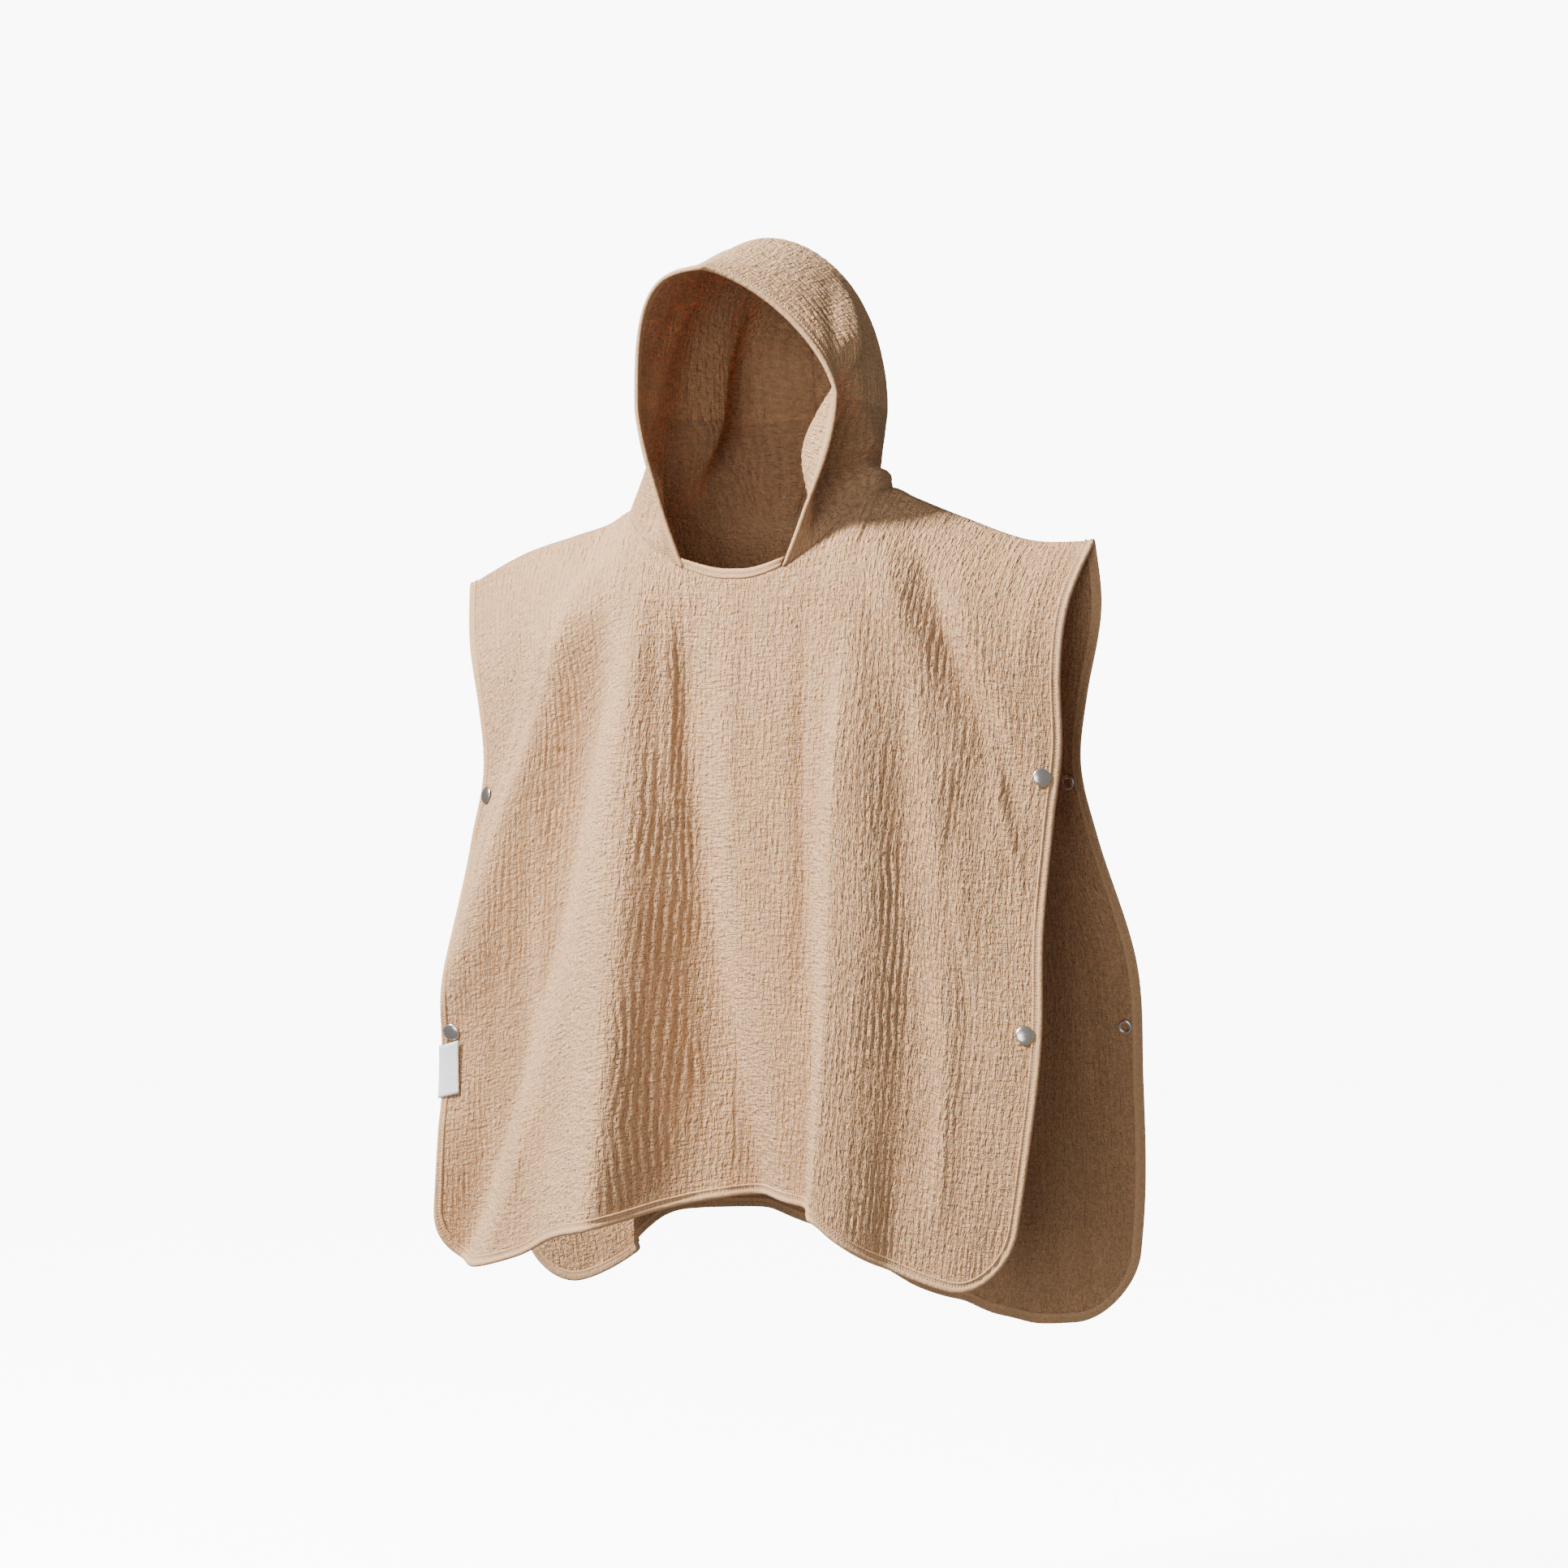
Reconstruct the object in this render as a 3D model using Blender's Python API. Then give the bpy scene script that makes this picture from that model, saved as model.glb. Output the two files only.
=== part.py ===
"""Hooded bath poncho for a toddler, in crinkled cotton double gauze.

The poncho hangs as if it were worn, hollow and open. A front and a longer back panel meet in two
shoulder seams. A hood of two halves stands in the neck. A bias binding closes every cut edge, and
the open sides carry two metal snaps each. Lengths are in metres, +Z is up and the front faces -Y.
+X is the wearer's left. The origin is the middle of the neck, level with the shoulders.
"""

import math
from collections import namedtuple

import bmesh
import bpy
from mathutils import Matrix, Vector

# The cut
PANEL_WIDTH = 0.600
FRONT_LENGTH = 0.620
BACK_LENGTH = 0.665
CORNER_RADIUS = 0.055
NECK_HALF_WIDTH = 0.118
FRONT_NECK_DROP = 0.092
BACK_NECK_DROP = 0.030
FACE_HALF_WIDTH = 0.046

# The make
CLOTH_THICKNESS = 0.0014
BINDING_THICKNESS = 0.0024
BINDING_WIDTH = 0.009
SEAM_GAP = 0.0003
EDGE_GAP = 0.0008

# Snaps and label
SNAP_DOWN = {"upper": 0.205, "lower": 0.413}
SNAP_FROM_EDGE = 0.0145
SNAP_SEAT = BINDING_THICKNESS / 2 + 0.0007
LABEL_DOWN = 0.422
LABEL_LENGTH = 0.047
LABEL_WIDTH = 0.024
LABEL_THICKNESS = 0.0010

# The mesh
NECK_COLUMNS = 4
SHOULDER_COLUMNS = 6
CORNER_COLUMNS = 3
HOOD_ROWS = 18
SNAP_SIDES = 12
NORMAL_STEP = 0.006

# How a panel hangs, seen from above: its two edges and its middle at each length of cloth
Section = namedtuple("Section", "down left_x left_y right_x right_y middle_y")
FRONT_SECTIONS = [
    Section(0.00, 0.288, -0.022, -0.287, -0.022, -0.066),
    Section(0.06, 0.270, -0.026, -0.277, -0.026, -0.078),
    Section(0.12, 0.266, -0.031, -0.262, -0.031, -0.088),
    Section(0.18, 0.268, -0.034, -0.256, -0.033, -0.096),
    Section(0.24, 0.263, -0.042, -0.266, -0.036, -0.102),
    Section(0.33, 0.260, -0.065, -0.276, -0.048, -0.108),
    Section(0.42, 0.263, -0.084, -0.284, -0.056, -0.112),
    Section(0.52, 0.254, -0.097, -0.289, -0.061, -0.115),
    Section(0.62, 0.240, -0.104, -0.296, -0.065, -0.117),
]
BACK_SECTIONS = [
    Section(0.00, 0.288, 0.022, -0.287, 0.022, 0.070),
    Section(0.06, 0.288, 0.028, -0.281, 0.028, 0.080),
    Section(0.13, 0.271, 0.040, -0.267, 0.038, 0.088),
    Section(0.19, 0.263, 0.049, -0.260, 0.045, 0.094),
    Section(0.25, 0.275, 0.056, -0.265, 0.050, 0.100),
    Section(0.36, 0.302, 0.087, -0.277, 0.062, 0.112),
    Section(0.46, 0.302, 0.110, -0.284, 0.072, 0.122),
    Section(0.56, 0.301, 0.120, -0.276, 0.078, 0.130),
    Section(0.665, 0.290, 0.128, -0.262, 0.082, 0.136),
]

# The height of a panel's upper line and of its hem, across the cloth from right to left
Hang = namedtuple("Hang", "across top hem")
FRONT_HANG = [
    Hang(-0.300, -0.053, -0.657),
    Hang(-0.235, -0.027, -0.650),
    Hang(-0.180, -0.013, -0.636),
    Hang(-0.145, -0.004, -0.620),
    Hang(-0.118, 0.009, -0.611),
    Hang(-0.075, 0.008, -0.600),
    Hang(-0.040, 0.001, -0.588),
    Hang(0.000, -0.005, -0.579),
    Hang(0.040, -0.002, -0.577),
    Hang(0.075, 0.004, -0.580),
    Hang(0.118, 0.016, -0.589),
    Hang(0.142, 0.006, -0.604),
    Hang(0.180, -0.010, -0.625),
    Hang(0.245, -0.034, -0.645),
    Hang(0.300, -0.037, -0.650),
]
BACK_HANG = [
    Hang(-0.300, -0.053, -0.690),
    Hang(-0.235, -0.027, -0.682),
    Hang(-0.180, -0.013, -0.655),
    Hang(-0.145, -0.004, -0.622),
    Hang(-0.118, 0.009, -0.617),
    Hang(-0.062, 0.012, -0.618),
    Hang(0.000, 0.012, -0.632),
    Hang(0.055, 0.013, -0.660),
    Hang(0.118, 0.016, -0.690),
    Hang(0.142, 0.006, -0.695),
    Hang(0.180, -0.010, -0.701),
    Hang(0.245, -0.034, -0.703),
    Hang(0.300, -0.037, -0.693),
]

# The largest folds, from where each starts down the cloth to where it ends. A fold runs through
# three places across the cloth and stands out by its height. A lean above zero makes it steeper
# on the wearer's right. A height below zero is a trough.
Fold = namedtuple("Fold", "start end across_start across_mid across_end width high_start high_end lean")
FRONT_FOLDS = [
    Fold(0.02, 0.45, -0.128, -0.232, -0.315, 0.072, 0.020, 0.020, 0.2),
    Fold(0.05, 0.62, -0.128, -0.165, -0.275, 0.095, -0.016, -0.038, -0.4),
    Fold(0.46, 0.62, -0.290, -0.295, -0.300, 0.050, 0.002, 0.020, 0.0),
    Fold(0.03, 0.62, -0.098, -0.078, -0.088, 0.075, 0.018, 0.058, -0.10),
    Fold(0.08, 0.62, -0.052, -0.024, 0.034, 0.064, -0.014, -0.030, -0.3),
    Fold(0.12, 0.62, 0.116, 0.118, 0.120, 0.110, 0.008, 0.044, 0.75),
    Fold(0.06, 0.62, 0.160, 0.182, 0.188, 0.060, -0.008, -0.012, 0.3),
    Fold(0.02, 0.40, 0.132, 0.190, 0.246, 0.040, 0.008, 0.006, 0.0),
    Fold(0.03, 0.25, 0.158, 0.215, 0.275, 0.036, -0.013, -0.008, 0.0),
]
BACK_FOLDS = [
    Fold(0.02, 0.26, 0.128, 0.200, 0.290, 0.038, 0.010, 0.005, 0.0),
    Fold(0.05, 0.665, 0.075, 0.110, 0.130, 0.046, 0.012, 0.026, 0.1),
    Fold(0.08, 0.62, 0.030, 0.045, 0.055, 0.040, -0.010, -0.016, 0.0),
    Fold(0.05, 0.665, -0.045, -0.055, -0.060, 0.044, 0.010, 0.024, 0.0),
    Fold(0.20, 0.665, -0.150, -0.160, -0.166, 0.040, -0.008, -0.044, 0.45),
    Fold(0.03, 0.30, -0.135, -0.205, -0.290, 0.036, 0.012, 0.004, 0.0),
    Fold(0.30, 0.665, 0.190, 0.205, 0.215, 0.040, -0.006, -0.016, 0.0),
]

# The hood's arches, from the face opening round to the nape. Each stands on the neck seam,
# widens, and closes in the centre seam. Round is 0 at the front's middle, 1 at the shoulders and
# 2 at the nape. A small square makes the half's upper corner square and 1 makes it round.
Arch = namedtuple(
    "Arch", "round left_x right_x wide_y wide_z crown_x crown_y crown_z left_square right_square")
HOOD_ARCHES = [
    Arch(0.39, 0.0905, -0.0865, -0.092, 0.084, -0.011, -0.134, 0.186, 1.40, 0.58),
    Arch(0.65, 0.0925, -0.0890, -0.066, 0.086, -0.008, -0.106, 0.197, 1.05, 0.75),
    Arch(1.00, 0.0950, -0.0965, -0.012, 0.088, -0.004, -0.056, 0.220, 0.96, 0.88),
    Arch(1.30, 0.0940, -0.0950, 0.036, 0.090, 0.000, -0.006, 0.237, 0.98, 0.88),
    Arch(1.68, 0.0750, -0.0750, 0.086, 0.094, 0.000, 0.046, 0.226, 0.94, 0.88),
    Arch(1.87, 0.0460, -0.0460, 0.110, 0.097, 0.000, 0.070, 0.208, 0.90, 0.90),
    Arch(2.00, 0.0000, 0.0000, 0.120, 0.100, 0.000, 0.086, 0.190, 1.00, 1.00),
]

# The hood's soft folds: oval swells of the flat cloth, each at a distance round the neck from the
# front's middle and at a height over the neck seam. Long and wide are its half sizes, turned is in
# degrees from upright towards the nape, and a high below zero goes inwards. Side is 1 for the
# wearer's left.
Swell = namedtuple("Swell", "side round height long wide turned high")
HOOD_HEIGHT = 0.340
HOOD_SWELLS = [
    Swell(1, 0.084, 0.092, 0.140, 0.037, -4, -0.038),
    Swell(1, 0.046, 0.120, 0.080, 0.026, 0, 0.004),
    Swell(1, 0.097, 0.218, 0.065, 0.022, 43, 0.008),
    Swell(1, 0.116, 0.064, 0.034, 0.040, 10, -0.010),
    Swell(1, 0.136, 0.034, 0.016, 0.024, 20, 0.006),
    Swell(1, 0.190, 0.120, 0.110, 0.022, 4, -0.006),
    Swell(-1, 0.168, 0.160, 0.180, 0.030, 12, -0.022),
    Swell(-1, 0.203, 0.165, 0.170, 0.022, 10, 0.007),
    Swell(-1, 0.074, 0.060, 0.070, 0.024, -10, -0.010),
    Swell(-1, 0.110, 0.200, 0.090, 0.022, 24, -0.006),
]
HOOD_CALM = 0.028

# How much the cloth is spread from the middle on each side
SPREAD = {1: -0.04, -1: 0.17}

NAME = "hooded_bath_poncho"
UP = Vector((0.0, 0.0, 1.0))

# How round the folds are along their tops, as a part of their width
CREST_ROUNDING = 0.22
CREST_SLOPE = math.hypot(1.0, CREST_ROUNDING) - CREST_ROUNDING


def smooth(value):
    """Rise smoothly from 0 to 1 as the value does, and stay there."""
    value = min(max(value, 0.0), 1.0)
    return value * value * (3.0 - 2.0 * value)


def read(rows, column, at):
    """Read a table's column at a place between its rows, on a smooth curve through them.

    The first column of every table is the place of the row.
    """
    places = [row[0] for row in rows]
    values = [getattr(row, column) for row in rows]
    last = len(rows) - 1
    row = 0
    while row < last - 1 and at > places[row + 1]:
        row += 1

    def slope(index):
        before, after = max(index - 1, 0), min(index + 1, last)
        return (values[after] - values[before]) / (places[after] - places[before])

    span = places[row + 1] - places[row]
    part = min(max((at - places[row]) / span, 0.0), 1.0)
    squared, cubed = part * part, part * part * part
    return (
        (2 * cubed - 3 * squared + 1) * values[row]
        + (cubed - 2 * squared + part) * span * slope(row)
        + (3 * squared - 2 * cubed) * values[row + 1]
        + (cubed - squared) * span * slope(row + 1)
    )


class Panel:
    """A panel of the body: its cut, and the surface that the cut hangs on.

    A place on the flat cloth is given by across, from the middle to the wearer's left, and down,
    from the shoulder line.
    """

    def __init__(self, length, neck_drop, sections, hang, folds, out):
        self.length = length
        self.neck_drop = neck_drop
        self.sections = sections
        self.hang = hang
        self.folds = folds
        self.out = out

    def neckline(self, across):
        """How far down the neck is cut away."""
        part = min(abs(across) / NECK_HALF_WIDTH, 1.0)
        return self.neck_drop * (1.0 - part * part) ** 0.7

    def lift(self, across, down):
        """How far all the folds together stand out at a place."""
        total = 0.0
        for fold in self.folds:
            part = (down - fold.start) / (fold.end - fold.start)
            part = min(max(part, 0.0), 1.0 if fold.end < self.length else 1.05)
            middle = (
                fold.across_start * (1 - part) * (1 - 2 * part)
                + fold.across_mid * 4 * part * (1 - part)
                + fold.across_end * part * (2 * part - 1)
            )
            side = 1 + fold.lean if across > middle else 1 - fold.lean
            off = abs(across - middle) / (fold.width * side)
            if off >= 1.0:
                continue
            height = fold.high_start + (fold.high_end - fold.high_start) * part
            height *= smooth(part / 0.25)
            if fold.end < self.length:
                height *= smooth((1.0 - part) / 0.25)
            crest = (math.hypot(off, CREST_ROUNDING) - CREST_ROUNDING) / CREST_SLOPE
            total += height * (1 - crest) ** 1.7
        return total

    def point(self, across, down):
        """The place in the air of a place on the cloth, half way through its thickness."""
        part = across / (PANEL_WIDTH / 2)
        left = part > 0
        edge_x = read(self.sections, "left_x" if left else "right_x", down)
        edge_y = read(self.sections, "left_y" if left else "right_y", down)
        middle_y = read(self.sections, "middle_y", down)
        full_y = edge_y + (middle_y - edge_y) * (1 - abs(part) ** 2.2)
        full_y += self.out * self.lift(across, down)

        # Over the shoulder the cloth starts level and turns down into the full depth.
        turn = math.sin(math.pi / 2 * min(max(down, 0.0) / 0.12, 1.0)) ** 0.85
        neck_part = min(abs(across) / NECK_HALF_WIDTH, 1.0)
        neck_y = self.out * 0.056 * math.sqrt(1 - neck_part * neck_part)
        seam_y = self.out * SEAM_GAP / 2
        y = seam_y + neck_y * (1 - turn) + full_y * turn

        top = read(self.hang, "top", across)
        hem = read(self.hang, "hem", across)
        level = 0.3 * abs(middle_y) * (1 - abs(part)) + 0.006
        fallen = down - level * (1 - math.exp(-max(down, 0.0) / 0.03))
        z = top + (hem - top) * fallen / (self.length - level)
        spread = abs(part) + SPREAD[1 if left else -1] * abs(part) * (1 - abs(part))
        return Vector((edge_x * spread, y, z))

    def outward(self, across, down):
        """The direction straight out of the cloth at a place."""
        if down < 0.001 and abs(across) > NECK_HALF_WIDTH:
            along = self.point(across + 0.01, 0.0) - self.point(across - 0.01, 0.0)
            return Vector((-along.z, 0.0, along.x)).normalized()
        above = max(down - NORMAL_STEP, 0.0)
        sideways = self.point(across + NORMAL_STEP, down) - self.point(across - NORMAL_STEP, down)
        downwards = self.point(across, down + NORMAL_STEP) - self.point(across, above)
        normal = downwards.cross(sideways).normalized()
        return normal if normal.y * self.out > 0 or normal.z > 0.9 else -normal

    def round_corner(self, across, down):
        """Turn a place near a lower corner of a plain rectangle into one on the round corner."""
        flat_across = PANEL_WIDTH / 2 - CORNER_RADIUS
        flat_down = self.length - CORNER_RADIUS
        over, under = abs(across) - flat_across, down - flat_down
        if over <= 1e-9 or under <= 1e-9:
            return across, down
        reach = max(over, under)
        angle = math.pi / 4 * under / over if over >= under else math.pi / 2 - math.pi / 4 * over / under
        return (
            math.copysign(flat_across + reach * math.cos(angle), across),
            flat_down + reach * math.sin(angle),
        )


FRONT = Panel(FRONT_LENGTH, FRONT_NECK_DROP, FRONT_SECTIONS, FRONT_HANG, FRONT_FOLDS, -1)
BACK = Panel(BACK_LENGTH, BACK_NECK_DROP, BACK_SECTIONS, BACK_HANG, BACK_FOLDS, 1)


def steps(stops):
    """Places from stop to stop, each stretch cut into the number of equal steps given with it."""
    places = [stops[0][0]]
    for (start, _), (end, count) in zip(stops, stops[1:]):
        places += [start + (end - start) * step / count for step in range(1, count + 1)]
    return places


CUT_INSET = BINDING_WIDTH + EDGE_GAP
HOOD_INSET = BINDING_WIDTH + 0.0013
HALF_COLUMNS = steps([
    (0.0, 0),
    (FACE_HALF_WIDTH, NECK_COLUMNS),
    (FACE_HALF_WIDTH + HOOD_INSET, 1),
    (NECK_HALF_WIDTH, NECK_COLUMNS),
    (PANEL_WIDTH / 2 - CORNER_RADIUS, SHOULDER_COLUMNS),
    (PANEL_WIDTH / 2 - CUT_INSET, CORNER_COLUMNS),
])
COLUMNS = [-place for place in reversed(HALF_COLUMNS[1:])] + HALF_COLUMNS


def panel_rows(panel):
    """Rows down a panel: close together over the shoulder, then even, then into the corners."""
    return steps([
        (0.0, 0),
        (0.018, 2),
        (0.060, 2),
        (panel.length - CORNER_RADIUS, 15),
        (panel.length - CUT_INSET, CORNER_COLUMNS),
    ])


def neck_round(round_neck):
    """The panel and the place across it at a distance round the neck from the front's middle."""
    if round_neck <= NECK_HALF_WIDTH:
        return FRONT, round_neck
    return BACK, 2 * NECK_HALF_WIDTH - round_neck


def neck_seam(side, round_neck):
    """A point of the neck seam, the mitre between hood and panel, and the way to the panel."""
    def seam_point(place):
        place = abs(place)
        place = min(place, 4 * NECK_HALF_WIDTH - place)
        panel, across = neck_round(place)
        found = panel.point(side * across, panel.neckline(across))
        found.y -= panel.out * SEAM_GAP / 2
        return found

    point = seam_point(round_neck)
    panel, across = neck_round(round_neck)
    nearby = 0.006
    along = seam_point(round_neck + nearby) - seam_point(max(round_neck - nearby, 0.0))
    if round_neck < 1e-6 or round_neck > 2 * NECK_HALF_WIDTH - 1e-6:
        along = Vector((side * (1.0 if round_neck < 1e-6 else -1.0), 0.0, 0.0))
    along.normalize()
    away = Vector((point.x / 0.0115, (point.y + 0.008) / 0.0052, 0.0)).normalized()
    if abs(across - NECK_HALF_WIDTH) < 0.001:
        lie = Vector((0.0, 0.0, 1.0))
    else:
        lie = panel.outward(side * across, panel.neckline(across) + 0.006)
    mitre = lie + away
    mitre -= along * mitre.dot(along)
    mitre.normalize()
    to_panel = along.cross(mitre).normalized()
    if to_panel.z > 0:
        to_panel.negate()
    return point, mitre, to_panel


def hood_form(side, round_neck, up):
    """A point of the hood without its folds, from up 0 at the neck seam to 1 at the centre seam."""
    point, _, to_panel = neck_seam(side, round_neck)
    foot = point - to_panel * SEAM_GAP / 2
    half = "left" if side > 0 else "right"
    row = round_neck / NECK_HALF_WIDTH
    wide = Vector((
        read(HOOD_ARCHES, half + "_x", row),
        read(HOOD_ARCHES, "wide_y", row),
        read(HOOD_ARCHES, "wide_z", row),
    ))
    crown = Vector((
        read(HOOD_ARCHES, "crown_x", row),
        read(HOOD_ARCHES, "crown_y", row),
        read(HOOD_ARCHES, "crown_z", row),
    ))
    at_nape = round_neck >= 2 * NECK_HALF_WIDTH - 1e-6
    if up <= 0.5:
        fall = 1 - 2 * up
        found = Vector((
            wide.x + (foot.x - wide.x) * fall ** 1.4,
            wide.y + (foot.y - wide.y) * fall ** 1.6,
            wide.z + (foot.z - wide.z) * fall,
        ))
    else:
        turn = (2 * up - 1) * math.pi / 2
        square = read(HOOD_ARCHES, half + "_square", row)
        found = Vector((
            crown.x + (wide.x - crown.x) * max(math.cos(turn), 0.0) ** square,
            wide.y + (crown.y - wide.y) * (1 - math.cos(turn)),
            wide.z + (crown.z - wide.z) * math.sin(turn) ** (0.1 + 0.9 * square),
        ))
    if up >= 1.0 or at_nape:
        found.x = (crown.x if up > 0.5 and not at_nape else 0.0) + side * SEAM_GAP / 2
    return found


def hood_normal(form, side, round_neck, up):
    """The direction straight out of a hood surface."""
    end = 2 * NECK_HALF_WIDTH
    back, front = min(round_neck + 0.005, end), max(round_neck - 0.005, FACE_HALF_WIDTH)
    over, under = min(up + 0.02, 1.0), max(up - 0.02, 0.0)
    backwards = form(side, back, up) - form(side, front, up)
    upwards = form(side, round_neck, over) - form(side, round_neck, under)
    if up >= 1.0:
        backwards.x = 0.0
        return Vector((0.0, -backwards.z, backwards.y)).normalized()
    if round_neck >= end - 1e-6:
        upwards.x = 0.0
        return Vector((0.0, upwards.z, -upwards.y)).normalized()
    return backwards.cross(upwards).normalized() * side


def hood_lift(side, round_neck, up):
    """How far all the hood's folds together stand out at a place, and nothing at its seams."""
    total = 0.0
    for swell in HOOD_SWELLS:
        if swell.side != side:
            continue
        turned = math.radians(swell.turned)
        back, above = round_neck - swell.round, up * HOOD_HEIGHT - swell.height
        along = above * math.cos(turned) + back * math.sin(turned)
        beside = back * math.cos(turned) - above * math.sin(turned)
        off = math.hypot(along / swell.long, beside / swell.wide)
        if off < 1.0:
            total += swell.high * 0.5 * (1 + math.cos(math.pi * off))
    to_seam = min(up * HOOD_HEIGHT, (1 - up) * HOOD_HEIGHT, 2 * NECK_HALF_WIDTH - round_neck)
    return total * smooth(to_seam / HOOD_CALM)


def hood_point(side, round_neck, up):
    """A point of the hood, half way through its cloth."""
    lift = hood_lift(side, round_neck, up)
    point = hood_form(side, round_neck, up)
    if lift == 0.0:
        return point
    return point + hood_normal(hood_form, side, round_neck, up) * lift


def hood_place(side, round_neck, up):
    """A point of the hood and the direction through its cloth, in line with its neighbours."""
    if up <= 0.0:
        _, mitre, _ = neck_seam(side, round_neck)
        return hood_point(side, round_neck, 0.0), mitre
    return hood_point(side, round_neck, up), hood_normal(hood_point, side, round_neck, up)


def hood_front(side, inset, up):
    """A place at a true distance from the hood's free front edge."""
    edge, through = hood_place(side, FACE_HALF_WIDTH, up)
    inner = hood_point(side, FACE_HALF_WIDTH + 0.012, up)
    inwards = (inner - edge).normalized()
    if up >= 1.0:
        inwards.x = 0.0
        inwards.normalize()
    return edge + inwards * inset, through


def wall(name, places, thickness, material, collection):
    """Make a cloth wall from rows of places, each a point and the direction through the cloth."""
    row_count, column_count = len(places), len(places[0])
    shell = bmesh.new()
    bmesh.ops.create_grid(shell, x_segments=column_count - 1, y_segments=row_count - 1, size=0.5)
    bmesh.ops.triangulate(shell, faces=shell.faces[:])
    raised = bmesh.ops.extrude_face_region(shell, geom=shell.faces[:])["geom"]
    outer = {part for part in raised if isinstance(part, bmesh.types.BMVert)}
    for corner in shell.verts:
        column = round((corner.co.x + 0.5) * (column_count - 1))
        row = round((corner.co.y + 0.5) * (row_count - 1))
        point, through = places[row][column]
        corner.co = point + through * (thickness / 2 if corner in outer else -thickness / 2)
    bmesh.ops.recalc_face_normals(shell, faces=shell.faces[:])
    if shell.calc_volume(signed=True) < 0:
        bmesh.ops.reverse_faces(shell, faces=shell.faces[:])
    mesh = bpy.data.meshes.new(name)
    shell.to_mesh(mesh)
    shell.free()
    mesh.shade_smooth()
    mesh.set_sharp_from_angle(angle=math.radians(50))
    mesh.materials.append(material)
    made = bpy.data.objects.new(name, mesh)
    collection.objects.link(made)
    return made


def new_material(name, colour, roughness, metallic):
    """A plain Principled material."""
    material = bpy.data.materials.new(name)
    material.use_nodes = True
    shader = material.node_tree.nodes["Principled BSDF"]
    shader.inputs["Base Color"].default_value = (*colour, 1.0)
    shader.inputs["Roughness"].default_value = roughness
    shader.inputs["Metallic"].default_value = metallic
    return material


def panel_places(panel):
    """Rows of places over a panel inside its bindings, from the neck and shoulders to the hem."""
    places = []
    for row_down in panel_rows(panel):
        row = []
        for across in COLUMNS:
            top = panel.neckline(across)
            down = top + row_down * (panel.length - top) / panel.length
            if row_down > panel.length - CORNER_RADIUS:
                down = row_down
            on_neck = row_down == 0.0 and abs(across) <= NECK_HALF_WIDTH + 1e-9
            if on_neck:
                round_neck = abs(across) if panel is FRONT else 2 * NECK_HALF_WIDTH - abs(across)
                side = -1 if across < 0 else 1
                point, mitre, to_panel = neck_seam(side, round_neck)
                point = point + to_panel * SEAM_GAP / 2
                if abs(abs(across) - NECK_HALF_WIDTH) < 1e-9:
                    point.y = panel.out * SEAM_GAP / 2
                row.append((point, mitre))
            else:
                across, down = panel.round_corner(across, down)
                row.append((panel.point(across, down), panel.outward(across, down)))
        places.append(row)
    return places


def panel_outline(panel):
    """The places of a panel's side and hem edges, each with the way out of the cloth's edge.

    They run from the left shoulder down, along the hem and up to the right shoulder, through the
    same places as the panel's own grid, so that the binding meets the panel all the way.
    """
    rows = panel_rows(panel)
    flat_across = PANEL_WIDTH / 2 - CORNER_RADIUS
    flat_down = panel.length - CORNER_RADIUS
    edge = COLUMNS[-1]
    walk = [(edge, down) for down in rows]
    walk += [(across, rows[-1]) for across in reversed(COLUMNS[1:-1])]
    walk += [(-edge, down) for down in reversed(rows)]
    outline = []
    for across, down in walk:
        at_across, at_down = panel.round_corner(across, down)
        over, under = abs(at_across) - flat_across, at_down - flat_down
        if under <= 1e-9:
            out_of = (math.copysign(1.0, across), 0.0)
        elif over <= 1e-9:
            out_of = (0.0, 1.0)
        else:
            reach = math.hypot(over, under)
            out_of = (math.copysign(over / reach, across), under / reach)
        outline.append(((at_across, at_down), out_of))
    return outline


def binding_places(panel):
    """Two rows of places for the binding round a panel: beside the panel and at the free edge."""
    rows = []
    for distance in (EDGE_GAP, CUT_INSET):
        row = []
        for (across, down), (out_across, out_down) in panel_outline(panel):
            at_across = across + out_across * distance
            at_down = down + out_down * distance
            row.append((panel.point(at_across, at_down), panel.outward(at_across, at_down)))
        rows.append(row)
    return rows


def hood_places(side):
    """Rows of places over a hood half, from the neck seam up to the centre seam."""
    rounds = [across for across in HALF_COLUMNS if FACE_HALF_WIDTH + 0.012 < across <= NECK_HALF_WIDTH]
    rounds += [2 * NECK_HALF_WIDTH - across for across in reversed(HALF_COLUMNS) if across < NECK_HALF_WIDTH - 1e-9]
    places = []
    for step in range(HOOD_ROWS + 1):
        up = step / HOOD_ROWS
        row = [hood_front(side, HOOD_INSET, up)] if up > 0 else [hood_place(side, FACE_HALF_WIDTH + HOOD_INSET, 0.0)]
        row += [hood_place(side, round_neck, up) for round_neck in rounds]
        places.append(row)
    return places


def hood_binding_places():
    """Two rows of places for the hood's binding, over the crown from one end to the other."""
    walk = [(1, step / HOOD_ROWS) for step in range(HOOD_ROWS + 1)]
    walk += [(-1, step / HOOD_ROWS) for step in reversed(range(HOOD_ROWS))]
    rows = []
    for inset in (BINDING_WIDTH, 0.0):
        row = []
        for side, up in walk:
            if up > 0:
                row.append(hood_front(side, inset, up))
            else:
                row.append(hood_place(side, FACE_HALF_WIDTH + inset, 0.0))
        rows.append(row)
    return rows


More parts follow.
